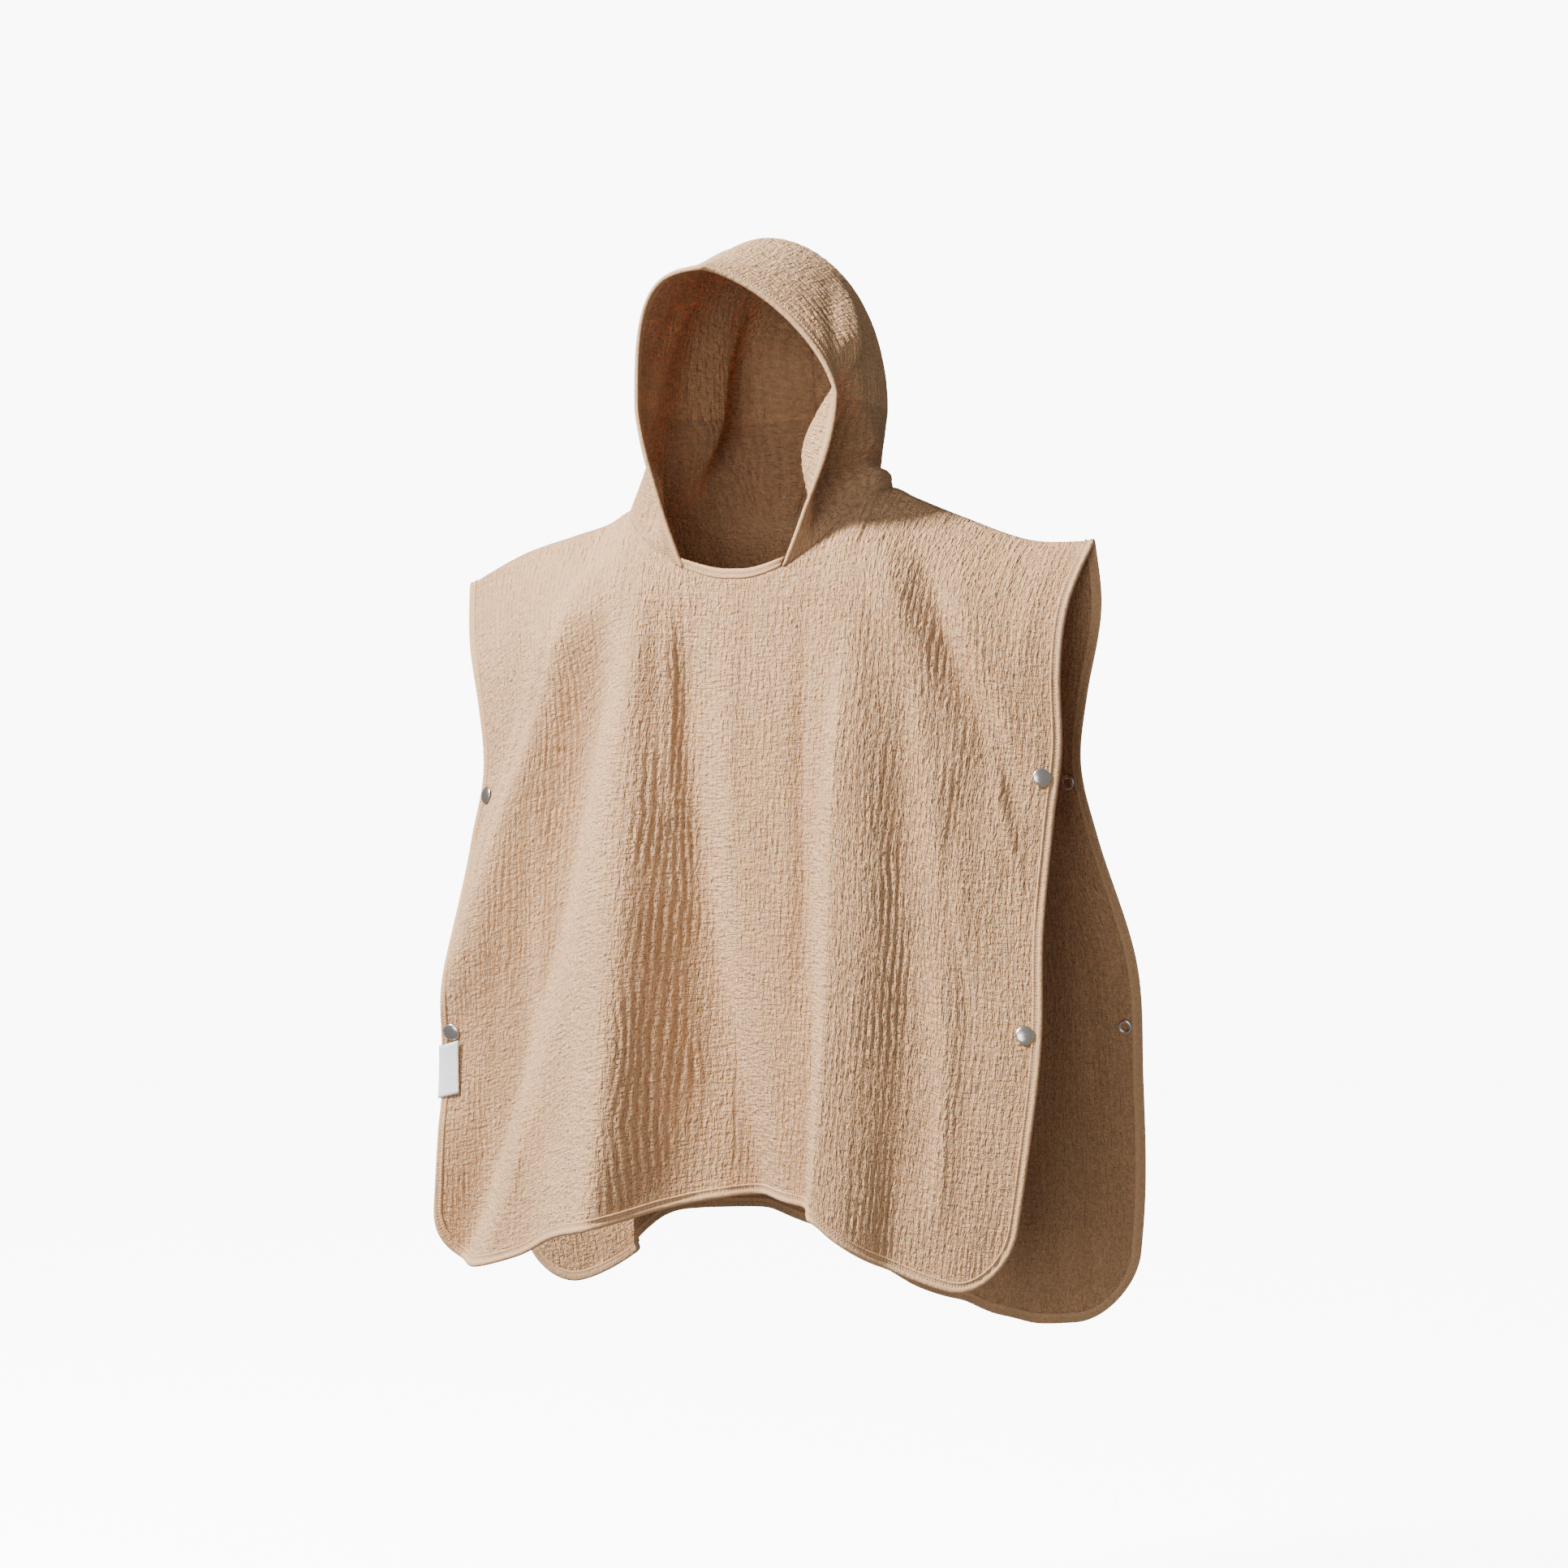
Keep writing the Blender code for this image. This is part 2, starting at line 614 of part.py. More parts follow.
def neckline_binding_places():
    """Two rows of places for the binding that stands on the front neckline."""
    reach = FACE_HALF_WIDTH - 3 * SEAM_GAP
    stops = [across for across in COLUMNS if abs(across) < reach - 0.004]
    stops = [-reach] + stops + [reach]
    rows = []
    for height in (SEAM_GAP / 2, SEAM_GAP / 2 + BINDING_WIDTH):
        row = []
        for across in stops:
            side = -1 if across < 0 else 1
            point, mitre, to_panel = neck_seam(side, abs(across))
            edge_way = hood_point(side, FACE_HALF_WIDTH, 0.07) - hood_point(side, FACE_HALF_WIDTH, 0.0)
            follow = (abs(across) / reach) ** 3
            upwards = (edge_way.normalized() * follow - to_panel * (1 - follow)).normalized()
            row.append((point + upwards * height, mitre))
        rows.append(row)
    return rows


def label_places():
    """Rows of places for the label, folded over the free edge of the front's right side."""
    seat = BINDING_THICKNESS / 2 + 4 * SEAM_GAP + LABEL_THICKNESS / 2
    slanted = seat * math.sqrt(0.5)
    across_steps = 5
    shares = [LABEL_WIDTH * (1 - step / across_steps) for step in range(across_steps + 1)]
    section = [(share, seat, (0.0, 1.0)) for share in shares]
    section += [
        (-slanted, slanted, (-1.0, 1.0)),
        (-seat, 0.0, (-1.0, 0.0)),
        (-slanted, -slanted, (-1.0, -1.0)),
    ]
    section += [(share, -seat, (0.0, -1.0)) for share in reversed(shares)]
    length_steps = 8
    places = []
    for step in range(length_steps + 1):
        down = LABEL_DOWN + LABEL_LENGTH * step / length_steps
        edge = -PANEL_WIDTH / 2
        row = []
        for inwards, off, (turn_in, turn_out) in section:
            across = edge + max(inwards, 0.0)
            normal = FRONT.outward(across, down)
            tangent = (FRONT.point(across + 0.004, down) - FRONT.point(across - 0.004, down)).normalized()
            point = FRONT.point(across, down) + tangent * min(inwards, 0.0) + normal * off
            row.append((point, (tangent * turn_in + normal * turn_out).normalized()))
        places.append(row)
    return places


# Profiles of the metal parts of a snap, as radius and height above the seat, outer side down
CAP_PROFILE = [(0.0, 0.0021), (0.0040, 0.0019), (0.0066, 0.0012), (0.0075, 0.0004), (0.0070, 0.0), (0.0, 0.0)]
STUD_PROFILE = [(0.0, 0.0034), (0.0022, 0.0032), (0.0024, 0.0009), (0.0060, 0.0007), (0.0060, 0.0), (0.0, 0.0)]
SOCKET_PROFILE = [(0.0030, 0.0030), (0.0048, 0.0030), (0.0056, 0.0010), (0.0065, 0.0006), (0.0065, 0.0), (0.0030, 0.0)]
RING_PROFILE = [(0.0036, 0.0012), (0.0052, 0.0015), (0.0064, 0.0008), (0.0064, 0.0), (0.0036, 0.0)]


def snap_part(name, profile, panel, side, down, face, material, collection):
    """Turn one metal part of a snap and seat it on the outside (1) or the inside (-1)."""
    across = side * (PANEL_WIDTH / 2 - SNAP_FROM_EDGE)
    point, outward = panel.point(across, down), panel.outward(across, down)
    mesh = bpy.data.meshes.new(name)
    outline = bmesh.new()
    corners = [outline.verts.new((radius, 0.0, height)) for radius, height in profile]
    for start, end in zip(corners, corners[1:]):
        outline.edges.new((start, end))
    if profile[0][0] > 0:
        outline.edges.new((corners[-1], corners[0]))
    bmesh.ops.spin(
        outline, geom=outline.verts[:] + outline.edges[:], cent=(0, 0, 0), axis=(0, 0, 1),
        angle=2 * math.pi, steps=SNAP_SIDES, use_merge=True,
    )
    bmesh.ops.remove_doubles(outline, verts=outline.verts[:], dist=0.00001)
    bmesh.ops.recalc_face_normals(outline, faces=outline.faces[:])
    turn = (outward * face).to_track_quat("Z", "Y").to_matrix().to_4x4()
    place = Matrix.Translation(point + outward * face * SNAP_SEAT) @ turn
    outline.to_mesh(mesh)
    outline.free()
    mesh.shade_smooth()
    mesh.set_sharp_from_angle(angle=math.radians(40))
    mesh.materials.append(material)
    made = bpy.data.objects.new(name, mesh)
    made.matrix_world = place
    collection.objects.link(made)
    return made


def build():
    """Clear the scene and make every piece of the poncho."""
    for old in list(bpy.data.objects):
        bpy.data.objects.remove(old, do_unlink=True)
    collection = bpy.data.collections.new(NAME)
    bpy.context.scene.collection.children.link(collection)

    gauze = new_material("gauze", (0.70, 0.55, 0.41), 0.9, 0.0)
    binding = new_material("binding", (0.72, 0.57, 0.43), 0.85, 0.0)
    woven = new_material("woven_label", (0.90, 0.90, 0.91), 0.6, 0.0)
    metal = new_material("metal", (0.75, 0.73, 0.70), 0.25, 1.0)

    wall("front_panel", panel_places(FRONT), CLOTH_THICKNESS, gauze, collection)
    wall("back_panel", panel_places(BACK), CLOTH_THICKNESS, gauze, collection)
    wall("hood_left", hood_places(1), CLOTH_THICKNESS, gauze, collection)
    wall("hood_right", hood_places(-1), CLOTH_THICKNESS, gauze, collection)
    wall("front_binding", binding_places(FRONT), BINDING_THICKNESS, binding, collection)
    wall("back_binding", binding_places(BACK), BINDING_THICKNESS, binding, collection)
    wall("hood_binding", hood_binding_places(), BINDING_THICKNESS, binding, collection)
    wall("neckline_binding", neckline_binding_places(), BINDING_THICKNESS, binding, collection)
    wall("label", label_places(), LABEL_THICKNESS, woven, collection)

    snap_parts = [
        ("snap_cap", CAP_PROFILE, FRONT, 1),
        ("snap_stud", STUD_PROFILE, FRONT, -1),
        ("snap_socket", SOCKET_PROFILE, BACK, 1),
        ("snap_ring", RING_PROFILE, BACK, -1),
    ]
    for part, profile, panel, face in snap_parts:
        for side, side_name in ((1, "left"), (-1, "right")):
            for height, down in SNAP_DOWN.items():
                name = f"{part}_{side_name}_{height}"
                snap_part(name, profile, panel, side, down, face, metal, collection)


build()
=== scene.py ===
"""Looks of the hooded bath poncho: crinkled cotton gauze, bound edges and metal snaps."""

import math
from collections import namedtuple

import bmesh
import bpy
import numpy as np
from mathutils import Matrix, Vector


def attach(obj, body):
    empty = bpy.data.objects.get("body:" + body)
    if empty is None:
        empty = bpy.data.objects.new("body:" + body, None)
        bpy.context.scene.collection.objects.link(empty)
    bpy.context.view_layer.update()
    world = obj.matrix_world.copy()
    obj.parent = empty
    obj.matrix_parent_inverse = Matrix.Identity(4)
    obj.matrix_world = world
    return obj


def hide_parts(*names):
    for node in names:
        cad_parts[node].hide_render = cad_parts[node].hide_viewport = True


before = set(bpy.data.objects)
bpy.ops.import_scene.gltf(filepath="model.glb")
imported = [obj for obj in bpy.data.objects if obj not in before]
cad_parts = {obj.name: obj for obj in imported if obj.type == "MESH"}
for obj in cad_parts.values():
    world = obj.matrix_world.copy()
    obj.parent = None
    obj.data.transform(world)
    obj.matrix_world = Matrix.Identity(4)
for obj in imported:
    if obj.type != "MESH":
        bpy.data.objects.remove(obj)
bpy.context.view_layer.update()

# --- Front panel -------------------------------------------------------------------------------
# The front is one piece of crinkled double gauze with round lower corners and a scooped neck.
# It hangs from the shoulder seams. Its crinkles were set in by washing and run down the cloth.
PANEL_WIDTH = 0.600
FRONT_LENGTH = 0.620
BACK_LENGTH = 0.665
CORNER_RADIUS = 0.055
NECK_HALF_WIDTH = 0.118
FRONT_NECK_DROP = 0.092
BACK_NECK_DROP = 0.030
FACE_HALF_WIDTH = 0.046
CLOTH_THICKNESS = 0.0013
BINDING_WIDTH = 0.009
TUCKED_SHARE = 0.6
SEAM_GAP = 0.0003
SPREAD_LEFT = -0.04
SPREAD_RIGHT = 0.17
PANEL_CELLS_ACROSS = 400
PANEL_CELLS_DOWN = 122

# How a panel turns from the shoulders and the neck into its hang: how far the neck seam stands
# from the shoulder line, how far down the turn ends, and how round its level sections are
NECK_DEPTH = 0.056
NECK_CURVE = 0.7
TURN_DOWN = 0.12
TURN_CURVE = 0.85
SECTION_ROUNDNESS = 2.2
LEVEL_SHARE = 0.3
LEVEL_LEAST = 0.006
LEVEL_FADE = 0.03
SLOPE_STEP = 0.004
SHOULDER_EDGE = 0.002

# How a panel hangs, seen from above: its two edges and its middle at each length of cloth
Section = namedtuple("Section", "down left_x left_y right_x right_y middle_y")
FRONT_SECTIONS = [
    Section(0.00, 0.288, -0.022, -0.287, -0.022, -0.066),
    Section(0.06, 0.270, -0.026, -0.277, -0.026, -0.078),
    Section(0.12, 0.266, -0.031, -0.262, -0.031, -0.088),
    Section(0.18, 0.268, -0.034, -0.256, -0.033, -0.096),
    Section(0.24, 0.263, -0.042, -0.266, -0.036, -0.102),
    Section(0.33, 0.260, -0.065, -0.276, -0.048, -0.108),
    Section(0.42, 0.263, -0.084, -0.284, -0.056, -0.112),
    Section(0.52, 0.254, -0.097, -0.289, -0.061, -0.115),
    Section(0.62, 0.240, -0.104, -0.296, -0.065, -0.117),
]

# The height of a panel's upper line and of its hem, across the cloth from right to left
Hang = namedtuple("Hang", "across top hem")
FRONT_HANG = [
    Hang(-0.300, -0.053, -0.657),
    Hang(-0.235, -0.027, -0.650),
    Hang(-0.180, -0.013, -0.636),
    Hang(-0.145, -0.004, -0.620),
    Hang(-0.118, 0.009, -0.611),
    Hang(-0.075, 0.008, -0.600),
    Hang(-0.040, 0.001, -0.588),
    Hang(0.000, -0.005, -0.579),
    Hang(0.040, -0.002, -0.577),
    Hang(0.075, 0.004, -0.580),
    Hang(0.118, 0.016, -0.589),
    Hang(0.142, 0.006, -0.604),
    Hang(0.180, -0.010, -0.625),
    Hang(0.245, -0.034, -0.645),
    Hang(0.300, -0.037, -0.650),
]

# The listed folds, each from where it starts down the cloth to where it ends, through three
# places across it. A lean above zero is steeper on the wearer's right, and a height below
# zero is a trough.
Fold = namedtuple("Fold", "start end across_start across_mid across_end width high_start high_end lean")
FRONT_FOLDS = [
    Fold(0.02, 0.45, -0.128, -0.232, -0.315, 0.072, 0.020, 0.020, 0.2),
    Fold(0.05, 0.62, -0.128, -0.165, -0.275, 0.095, -0.016, -0.038, -0.4),
    Fold(0.46, 0.62, -0.290, -0.295, -0.300, 0.050, 0.002, 0.020, 0.0),
    Fold(0.03, 0.62, -0.098, -0.078, -0.088, 0.075, 0.018, 0.058, -0.10),
    Fold(0.08, 0.62, -0.052, -0.024, 0.034, 0.064, -0.014, -0.030, -0.3),
    Fold(0.12, 0.62, 0.116, 0.118, 0.120, 0.110, 0.008, 0.044, 0.75),
    Fold(0.06, 0.62, 0.160, 0.182, 0.188, 0.060, -0.008, -0.012, 0.3),
    Fold(0.02, 0.40, 0.132, 0.190, 0.246, 0.040, 0.008, 0.006, 0.0),
    Fold(0.03, 0.25, 0.158, 0.215, 0.275, 0.036, -0.013, -0.008, 0.0),
    Fold(0.02, 0.20, -0.150, -0.185, -0.240, 0.016, -0.005, -0.002, 0.0),
    Fold(0.10, 0.34, -0.060, -0.052, -0.040, 0.012, 0.0025, 0.003, 0.0),
    Fold(0.08, 0.50, 0.070, 0.078, 0.086, 0.018, -0.003, -0.006, 0.0),
    Fold(0.30, 0.60, -0.190, -0.186, -0.190, 0.016, 0.003, 0.006, 0.0),
    Fold(0.22, 0.44, 0.215, 0.222, 0.250, 0.014, -0.003, -0.002, 0.0),
    Fold(0.34, 0.60, 0.205, 0.222, 0.228, 0.020, 0.003, 0.005, 0.0),
    Fold(0.16, 0.30, 0.235, 0.255, 0.284, 0.010, 0.004, 0.002, 0.0),
    Fold(0.14, 0.30, -0.230, -0.255, -0.284, 0.010, 0.004, 0.002, 0.0),
]


# How round the folds are along their tops, as a part of their width
CREST_ROUNDING = 0.22
CREST_SLOPE = math.hypot(1.0, CREST_ROUNDING) - CREST_ROUNDING
CREST_POWER = 1.7
FOLD_FADE = 0.25
PAST_HEM = 1.05


def smooth(value):
    """Rise smoothly from 0 to 1 as the value does, and stay there."""
    value = np.clip(value, 0.0, 1.0)
    return value * value * (3.0 - 2.0 * value)


def read(rows, column, at):
    """Read a table's column at places between its rows, on a smooth curve through them."""
    places = np.array([row[0] for row in rows])
    values = np.array([getattr(row, column) for row in rows])
    slopes = np.empty(len(rows))
    slopes[1:-1] = (values[2:] - values[:-2]) / (places[2:] - places[:-2])
    slopes[0] = (values[1] - values[0]) / (places[1] - places[0])
    slopes[-1] = (values[-1] - values[-2]) / (places[-1] - places[-2])
    row = np.clip(np.searchsorted(places, at, side="left") - 1, 0, len(rows) - 2)
    span = places[row + 1] - places[row]
    part = np.clip((at - places[row]) / span, 0.0, 1.0)
    squared, cubed = part ** 2, part ** 3
    return (
        (2 * cubed - 3 * squared + 1) * values[row]
        + (cubed - 2 * squared + part) * span * slopes[row]
        + (3 * squared - 2 * cubed) * values[row + 1]
        + (cubed - squared) * span * slopes[row + 1]
    )


def unit(vectors):
    """The same directions with a length of one."""
    return vectors / np.maximum(np.linalg.norm(vectors, axis=-1, keepdims=True), 1e-12)


def uneven(across, down, size_across, size_down, seed):
    """A soft random height from 0 to 1, with patches of the given size."""
    grid = np.random.default_rng(seed).random((257, 257))
    x, y = across / size_across + 400.0, down / size_down + 400.0
    column, row = np.floor(x).astype(int), np.floor(y).astype(int)
    u, v = smooth(x - column), smooth(y - row)
    a, b = grid[row % 257, column % 257], grid[row % 257, (column + 1) % 257]
    c, d = grid[(row + 1) % 257, column % 257], grid[(row + 1) % 257, (column + 1) % 257]
    return (a * (1 - u) + b * u) * (1 - v) + (c * (1 - u) + d * u) * v


# The crinkles: how far apart their ridges and cross rows are, and how high they, the pinched
# rows and the broad unevenness under them stand
RIDGE_PITCH = 0.0056
ROW_PITCH = 0.0088
RIDGE_HEIGHT = 0.00085
ROW_HEIGHT = 0.00015
PINCHED_HEIGHT = 0.0006
BROAD_HEIGHT = 0.0013
RIDGE_MIDDLE = 0.6
RELIEF_RANGE = 0.0012

# Beside a binding or a seam the crinkles are pressed flat
PRESSED_WIDTH = 0.004
CALM_WIDTH = 0.014
SEAM_CALM = 0.010
PRESSED_SHARE = 0.15


def crinkle(fast, slow, seed):
    """The height of the washed-in crinkles, long along slow and side by side along fast.

    Rounded ridges stand close together with narrow creases between them. They wander a little,
    fade and start again, and in a few patches the cloth is pinched the other way too. Fast and
    slow are flat distances across and along the ridges, in metres.
    """
    cycles = fast / RIDGE_PITCH
    cycles = cycles + 1.3 * uneven(fast, slow, 0.018, 0.060, seed)
    cycles = cycles + 0.42 * uneven(fast, slow, 0.011, 0.0085, seed + 1)
    ridges = np.abs(np.sin(np.pi * cycles)) - RIDGE_MIDDLE
    fades = 0.30 + 1.7 * uneven(fast, slow, 0.013, 0.032, seed + 2)
    rows = slow / ROW_PITCH + 1.6 * uneven(fast, slow, 0.040, 0.018, seed + 3)
    rows = np.abs(np.sin(np.pi * rows)) - RIDGE_MIDDLE
    pinched = smooth((uneven(fast, slow, 0.085, 0.075, seed + 4) - 0.50) / 0.35)
    broad = uneven(fast, slow, 0.014, 0.085, seed + 5) - 0.5
    rows = (ROW_HEIGHT + PINCHED_HEIGHT * pinched) * rows
    return RIDGE_HEIGHT * fades * ridges + rows + BROAD_HEIGHT * broad


class Panel:
    """A panel of the body: its cut, and the surface that the cut hangs on."""

    def __init__(self, length, neck_drop, sections, hang, folds, out, seed):
        self.length = length
        self.neck_drop = neck_drop
        self.sections = sections
        self.hang = hang
        self.folds = folds
        self.out = out
        self.seed = seed

    def neckline(self, across):
        """How far down the neck is cut away."""
        part = np.minimum(np.abs(across) / NECK_HALF_WIDTH, 1.0)
        return self.neck_drop * (1.0 - part ** 2) ** NECK_CURVE

    def lift(self, across, down):
        """How far all the folds together stand out at a place."""
        total = np.zeros_like(across)
        for fold in self.folds:
            runs_out = fold.end >= self.length
            part = (down - fold.start) / (fold.end - fold.start)
            part = np.clip(part, 0.0, PAST_HEM if runs_out else 1.0)
            middle = (
                fold.across_start * (1 - part) * (1 - 2 * part)
                + fold.across_mid * 4 * part * (1 - part)
                + fold.across_end * part * (2 * part - 1)
            )
            side = np.where(across > middle, 1 + fold.lean, 1 - fold.lean)
            off = np.minimum(np.abs(across - middle) / (fold.width * side), 1.0)
            height = fold.high_start + (fold.high_end - fold.high_start) * part
            height = height * smooth(part / FOLD_FADE)
            if not runs_out:
                height = height * smooth((1.0 - part) / FOLD_FADE)
            crest = (np.hypot(off, CREST_ROUNDING) - CREST_ROUNDING) / CREST_SLOPE
            total += height * (1 - crest) ** CREST_POWER
        return total

    def point(self, across, down):
        """The place in the air of a place on the cloth, half way through its thickness."""
        across, down = np.broadcast_arrays(np.asarray(across, float), np.asarray(down, float))
        part = np.abs(across) / (PANEL_WIDTH / 2)
        left = across > 0
        edge_x = np.where(left, read(self.sections, "left_x", down), read(self.sections, "right_x", down))
        edge_y = np.where(left, read(self.sections, "left_y", down), read(self.sections, "right_y", down))
        middle_y = read(self.sections, "middle_y", down)
        full_y = edge_y + (middle_y - edge_y) * (1 - np.minimum(part, 1.0) ** SECTION_ROUNDNESS)
        full_y = full_y + self.out * self.lift(across, down)
        turned_part = np.clip(down, 0.0, TURN_DOWN) / TURN_DOWN
        turn = np.sin(np.pi / 2 * turned_part) ** TURN_CURVE
        neck_part = np.minimum(np.abs(across) / NECK_HALF_WIDTH, 1.0)
        neck_y = self.out * NECK_DEPTH * np.sqrt(1 - neck_part ** 2)
        y = self.out * SEAM_GAP / 2 + neck_y * (1 - turn) + full_y * turn
        top = read(self.hang, "top", across)
        hem = read(self.hang, "hem", across)
        level = LEVEL_SHARE * np.abs(middle_y) * (1 - part) + LEVEL_LEAST
        fallen = down - level * (1 - np.exp(-np.maximum(down, 0.0) / LEVEL_FADE))
        z = top + (hem - top) * fallen / (self.length - level)
        spread = part + np.where(left, SPREAD_LEFT, SPREAD_RIGHT) * part * (1 - part)
        return np.stack([edge_x * spread, y, z], axis=-1)

    def outward(self, across, down):
        """The direction straight out of the cloth at a place."""
        above = np.maximum(down - SLOPE_STEP, 0.0)
        sideways = self.point(across + SLOPE_STEP, down) - self.point(across - SLOPE_STEP, down)
        downwards = self.point(across, down + SLOPE_STEP) - self.point(across, above)
        normal = unit(np.cross(downwards, sideways))
        shoulder = (np.asarray(down) < SHOULDER_EDGE) & (np.abs(across) > NECK_HALF_WIDTH)
        level = unit(np.stack([-sideways[..., 2], 0 * sideways[..., 2], sideways[..., 0]], axis=-1))
        normal = np.where((normal[..., 1] * self.out < 0)[..., None], -normal, normal)
        return np.where(shoulder[..., None], level, normal)

    def cloth(self, across, down, raised=0.0):
        """A place on the crinkled cloth, raised off its middle."""
        height = self.relief(across, down) + raised
        return self.point(across, down) + self.outward(across, down) * height[..., None]

    def relief(self, across, down):
        """The height of the crinkles, which a binding presses flat beside it."""
        from_edge = np.minimum(PANEL_WIDTH / 2 - np.abs(across), self.length - down)
        calm = smooth((from_edge - PRESSED_WIDTH) / CALM_WIDTH)
        from_seam = smooth((down - self.neckline(across)) / SEAM_CALM)
        pressed = PRESSED_SHARE + (1 - PRESSED_SHARE) * calm
        return crinkle(across, down, self.seed) * pressed * from_seam

    def round_corner(self, across, down):
        """Turn places near the lower corners of a plain rectangle into ones on round corners."""
        flat_across = PANEL_WIDTH / 2 - CORNER_RADIUS
        flat_down = self.length - CORNER_RADIUS
        over, under = np.abs(across) - flat_across, down - flat_down
        near = (over > 1e-9) & (under > 1e-9)
        over, under = np.where(near, over, 1.0), np.where(near, under, 1.0)
        reach = np.maximum(over, under)
        quarter = np.pi / 4
        angle = np.where(over >= under, quarter * under / over, 2 * quarter - quarter * over / under)
        new_across = np.copysign(flat_across + reach * np.cos(angle), across)
        new_down = flat_down + reach * np.sin(angle)
        return np.where(near, new_across, across), np.where(near, new_down, down)


def grid_piece(name, points, flat, relief=None):
    """Make a piece from rows of points, with its flat cut as a UV map in metres.

    The height of the crinkles is kept too, as an attribute from 0 in a crease to 1 on a ridge.
    """
    rows, columns = points.shape[:2]
    sheet = bmesh.new()
    bmesh.ops.create_grid(sheet, x_segments=columns - 1, y_segments=rows - 1, size=0.5)
    cut = sheet.loops.layers.uv.new("cut")
    ridge = sheet.verts.layers.float.new("ridge")
    for corner in sheet.verts:
        corner.index = (
            round((corner.co.y + 0.5) * (rows - 1)) * columns
            + round((corner.co.x + 0.5) * (columns - 1))
        )
    places = points.reshape(-1, 3)
    flats = flat.reshape(-1, 2)
    for face in sheet.faces:
        face.smooth = True
        for loop in face.loops:
            loop[cut].uv = flats[loop.vert.index]
    heights = np.zeros(len(places)) if relief is None else relief.ravel() / RELIEF_RANGE + 0.5
    for corner in sheet.verts:
        corner.co = places[corner.index]
        corner[ridge] = min(max(heights[corner.index], 0.0), 1.0)
    mesh = bpy.data.meshes.new(name)
    sheet.to_mesh(mesh)
    sheet.free()
    piece = bpy.data.objects.new(name, mesh)
    bpy.context.scene.collection.objects.link(piece)
    return piece


def thicken(piece, thickness):
    """Give the cloth its thickness, half to each side."""
    wall = piece.modifiers.new("cloth thickness", "SOLIDIFY")
    wall.thickness = thickness
    wall.offset = 0.0
    return piece


def panel_piece(name, panel):
    """A whole panel inside its bindings, from the neck and shoulders to the hem."""
    inset = BINDING_WIDTH * TUCKED_SHARE
    across = np.linspace(-1, 1, PANEL_CELLS_ACROSS + 1) * (PANEL_WIDTH / 2 - inset)
    downs = np.linspace(0, 1, PANEL_CELLS_DOWN + 1) * (panel.length - inset)
    across, downs = np.meshgrid(across, downs)
    top = panel.neckline(across)
    downs = top + downs * (panel.length - inset - top) / (panel.length - inset)
    across, downs = panel.round_corner(across, downs)
    flat = np.stack([across, downs], axis=-1)
    piece = grid_piece(name, panel.cloth(across, downs), flat, panel.relief(across, downs))
    return thicken(piece, CLOTH_THICKNESS)


class Shade:
    """A number in a material's nodes, with arithmetic that adds the nodes it needs."""

    def __init__(self, paint, socket):
        self.paint = paint
        self.socket = socket

    def _with(self, operation, other, swap=False):
        pair = [other, self] if swap else [self, other]
        return self.paint.node("ShaderNodeMath", {"operation": operation}, {0: pair[0], 1: pair[1]})

    def __add__(self, other):
        return self._with("ADD", other)

    def __sub__(self, other):
        return self._with("SUBTRACT", other)

    def __mul__(self, other):
        return self._with("MULTIPLY", other)

    def __rsub__(self, other):
        return self._with("SUBTRACT", other, True)

    __radd__ = __add__
    __rmul__ = __mul__


class Paint:
    """A material being made: a Principled shader and the nodes that feed it."""

    def __init__(self, name, roughness, **fixed):
        self.material = bpy.data.materials.new(name)
        self.material.use_nodes = True
        self.nodes = self.material.node_tree.nodes
        self.links = self.material.node_tree.links
        self.shader = self.nodes["Principled BSDF"]
        self.shader.inputs["Roughness"].default_value = roughness
        for socket, value in fixed.items():
            self.shader.inputs[socket.replace("_", " ")].default_value = value

    def node(self, kind, settings=None, inputs=None, output=0):
        """Add a node: its settings first, then the values or links of its sockets."""
        made = self.nodes.new(kind)
        for name, value in (settings or {}).items():
            setattr(made, name, value)
        for name, value in (inputs or {}).items():
            self.feed(made.inputs[name], value)
        return Shade(self, made.outputs[output])

    def feed(self, socket, value):
        if isinstance(value, Shade):
            self.links.new(value.socket, socket)
        else:
            socket.default_value = value

    def flat(self, stretch):
        """The flat cut in metres, stretched by a factor across and down."""
        cut = self.node("ShaderNodeUVMap", {"uv_map": "cut"})
        return self.node("ShaderNodeMapping", inputs={"Vector": cut, "Scale": (*stretch, 1.0)})

    def clouds(self, place, detail=2.0, rough=0.5, warp=0.0):
        """Soft noise from 0 to 1."""
        values = {"Vector": place, "Scale": 1.0, "Detail": detail, "Roughness": rough, "Distortion": warp}
        return self.node("ShaderNodeTexNoise", inputs=values)

    def spread(self, value, low, high):
        """Stretch values between low and high to 0 and 1."""
        return self.node("ShaderNodeMapRange", inputs={"Value": value, "From Min": low, "From Max": high})

    def mix(self, factor, first, second):
        """Mix two colours."""
        made = self.nodes.new("ShaderNodeMix")
        made.data_type = "RGBA"
        self.feed(made.inputs["Factor"], factor)
        self.feed(made.inputs[6], first)
        self.feed(made.inputs[7], second)
        return Shade(self, made.outputs[2])

    def bump(self, height, distance):
        """Let a height stand out of the surface, by the distance where it is one."""
        values = {"Height": height, "Distance": distance}
        self.feed(self.shader.inputs["Normal"], self.node("ShaderNodeBump", inputs=values))


# The deep gauze colour serves both the cloth's uneven tone and the painted shade in its creases
GAUZE_LIGHT = (0.620, 0.365, 0.190, 1.0)
GAUZE_DEEP_AND_CREASE_SHADE = (0.430, 0.240, 0.115, 1.0)


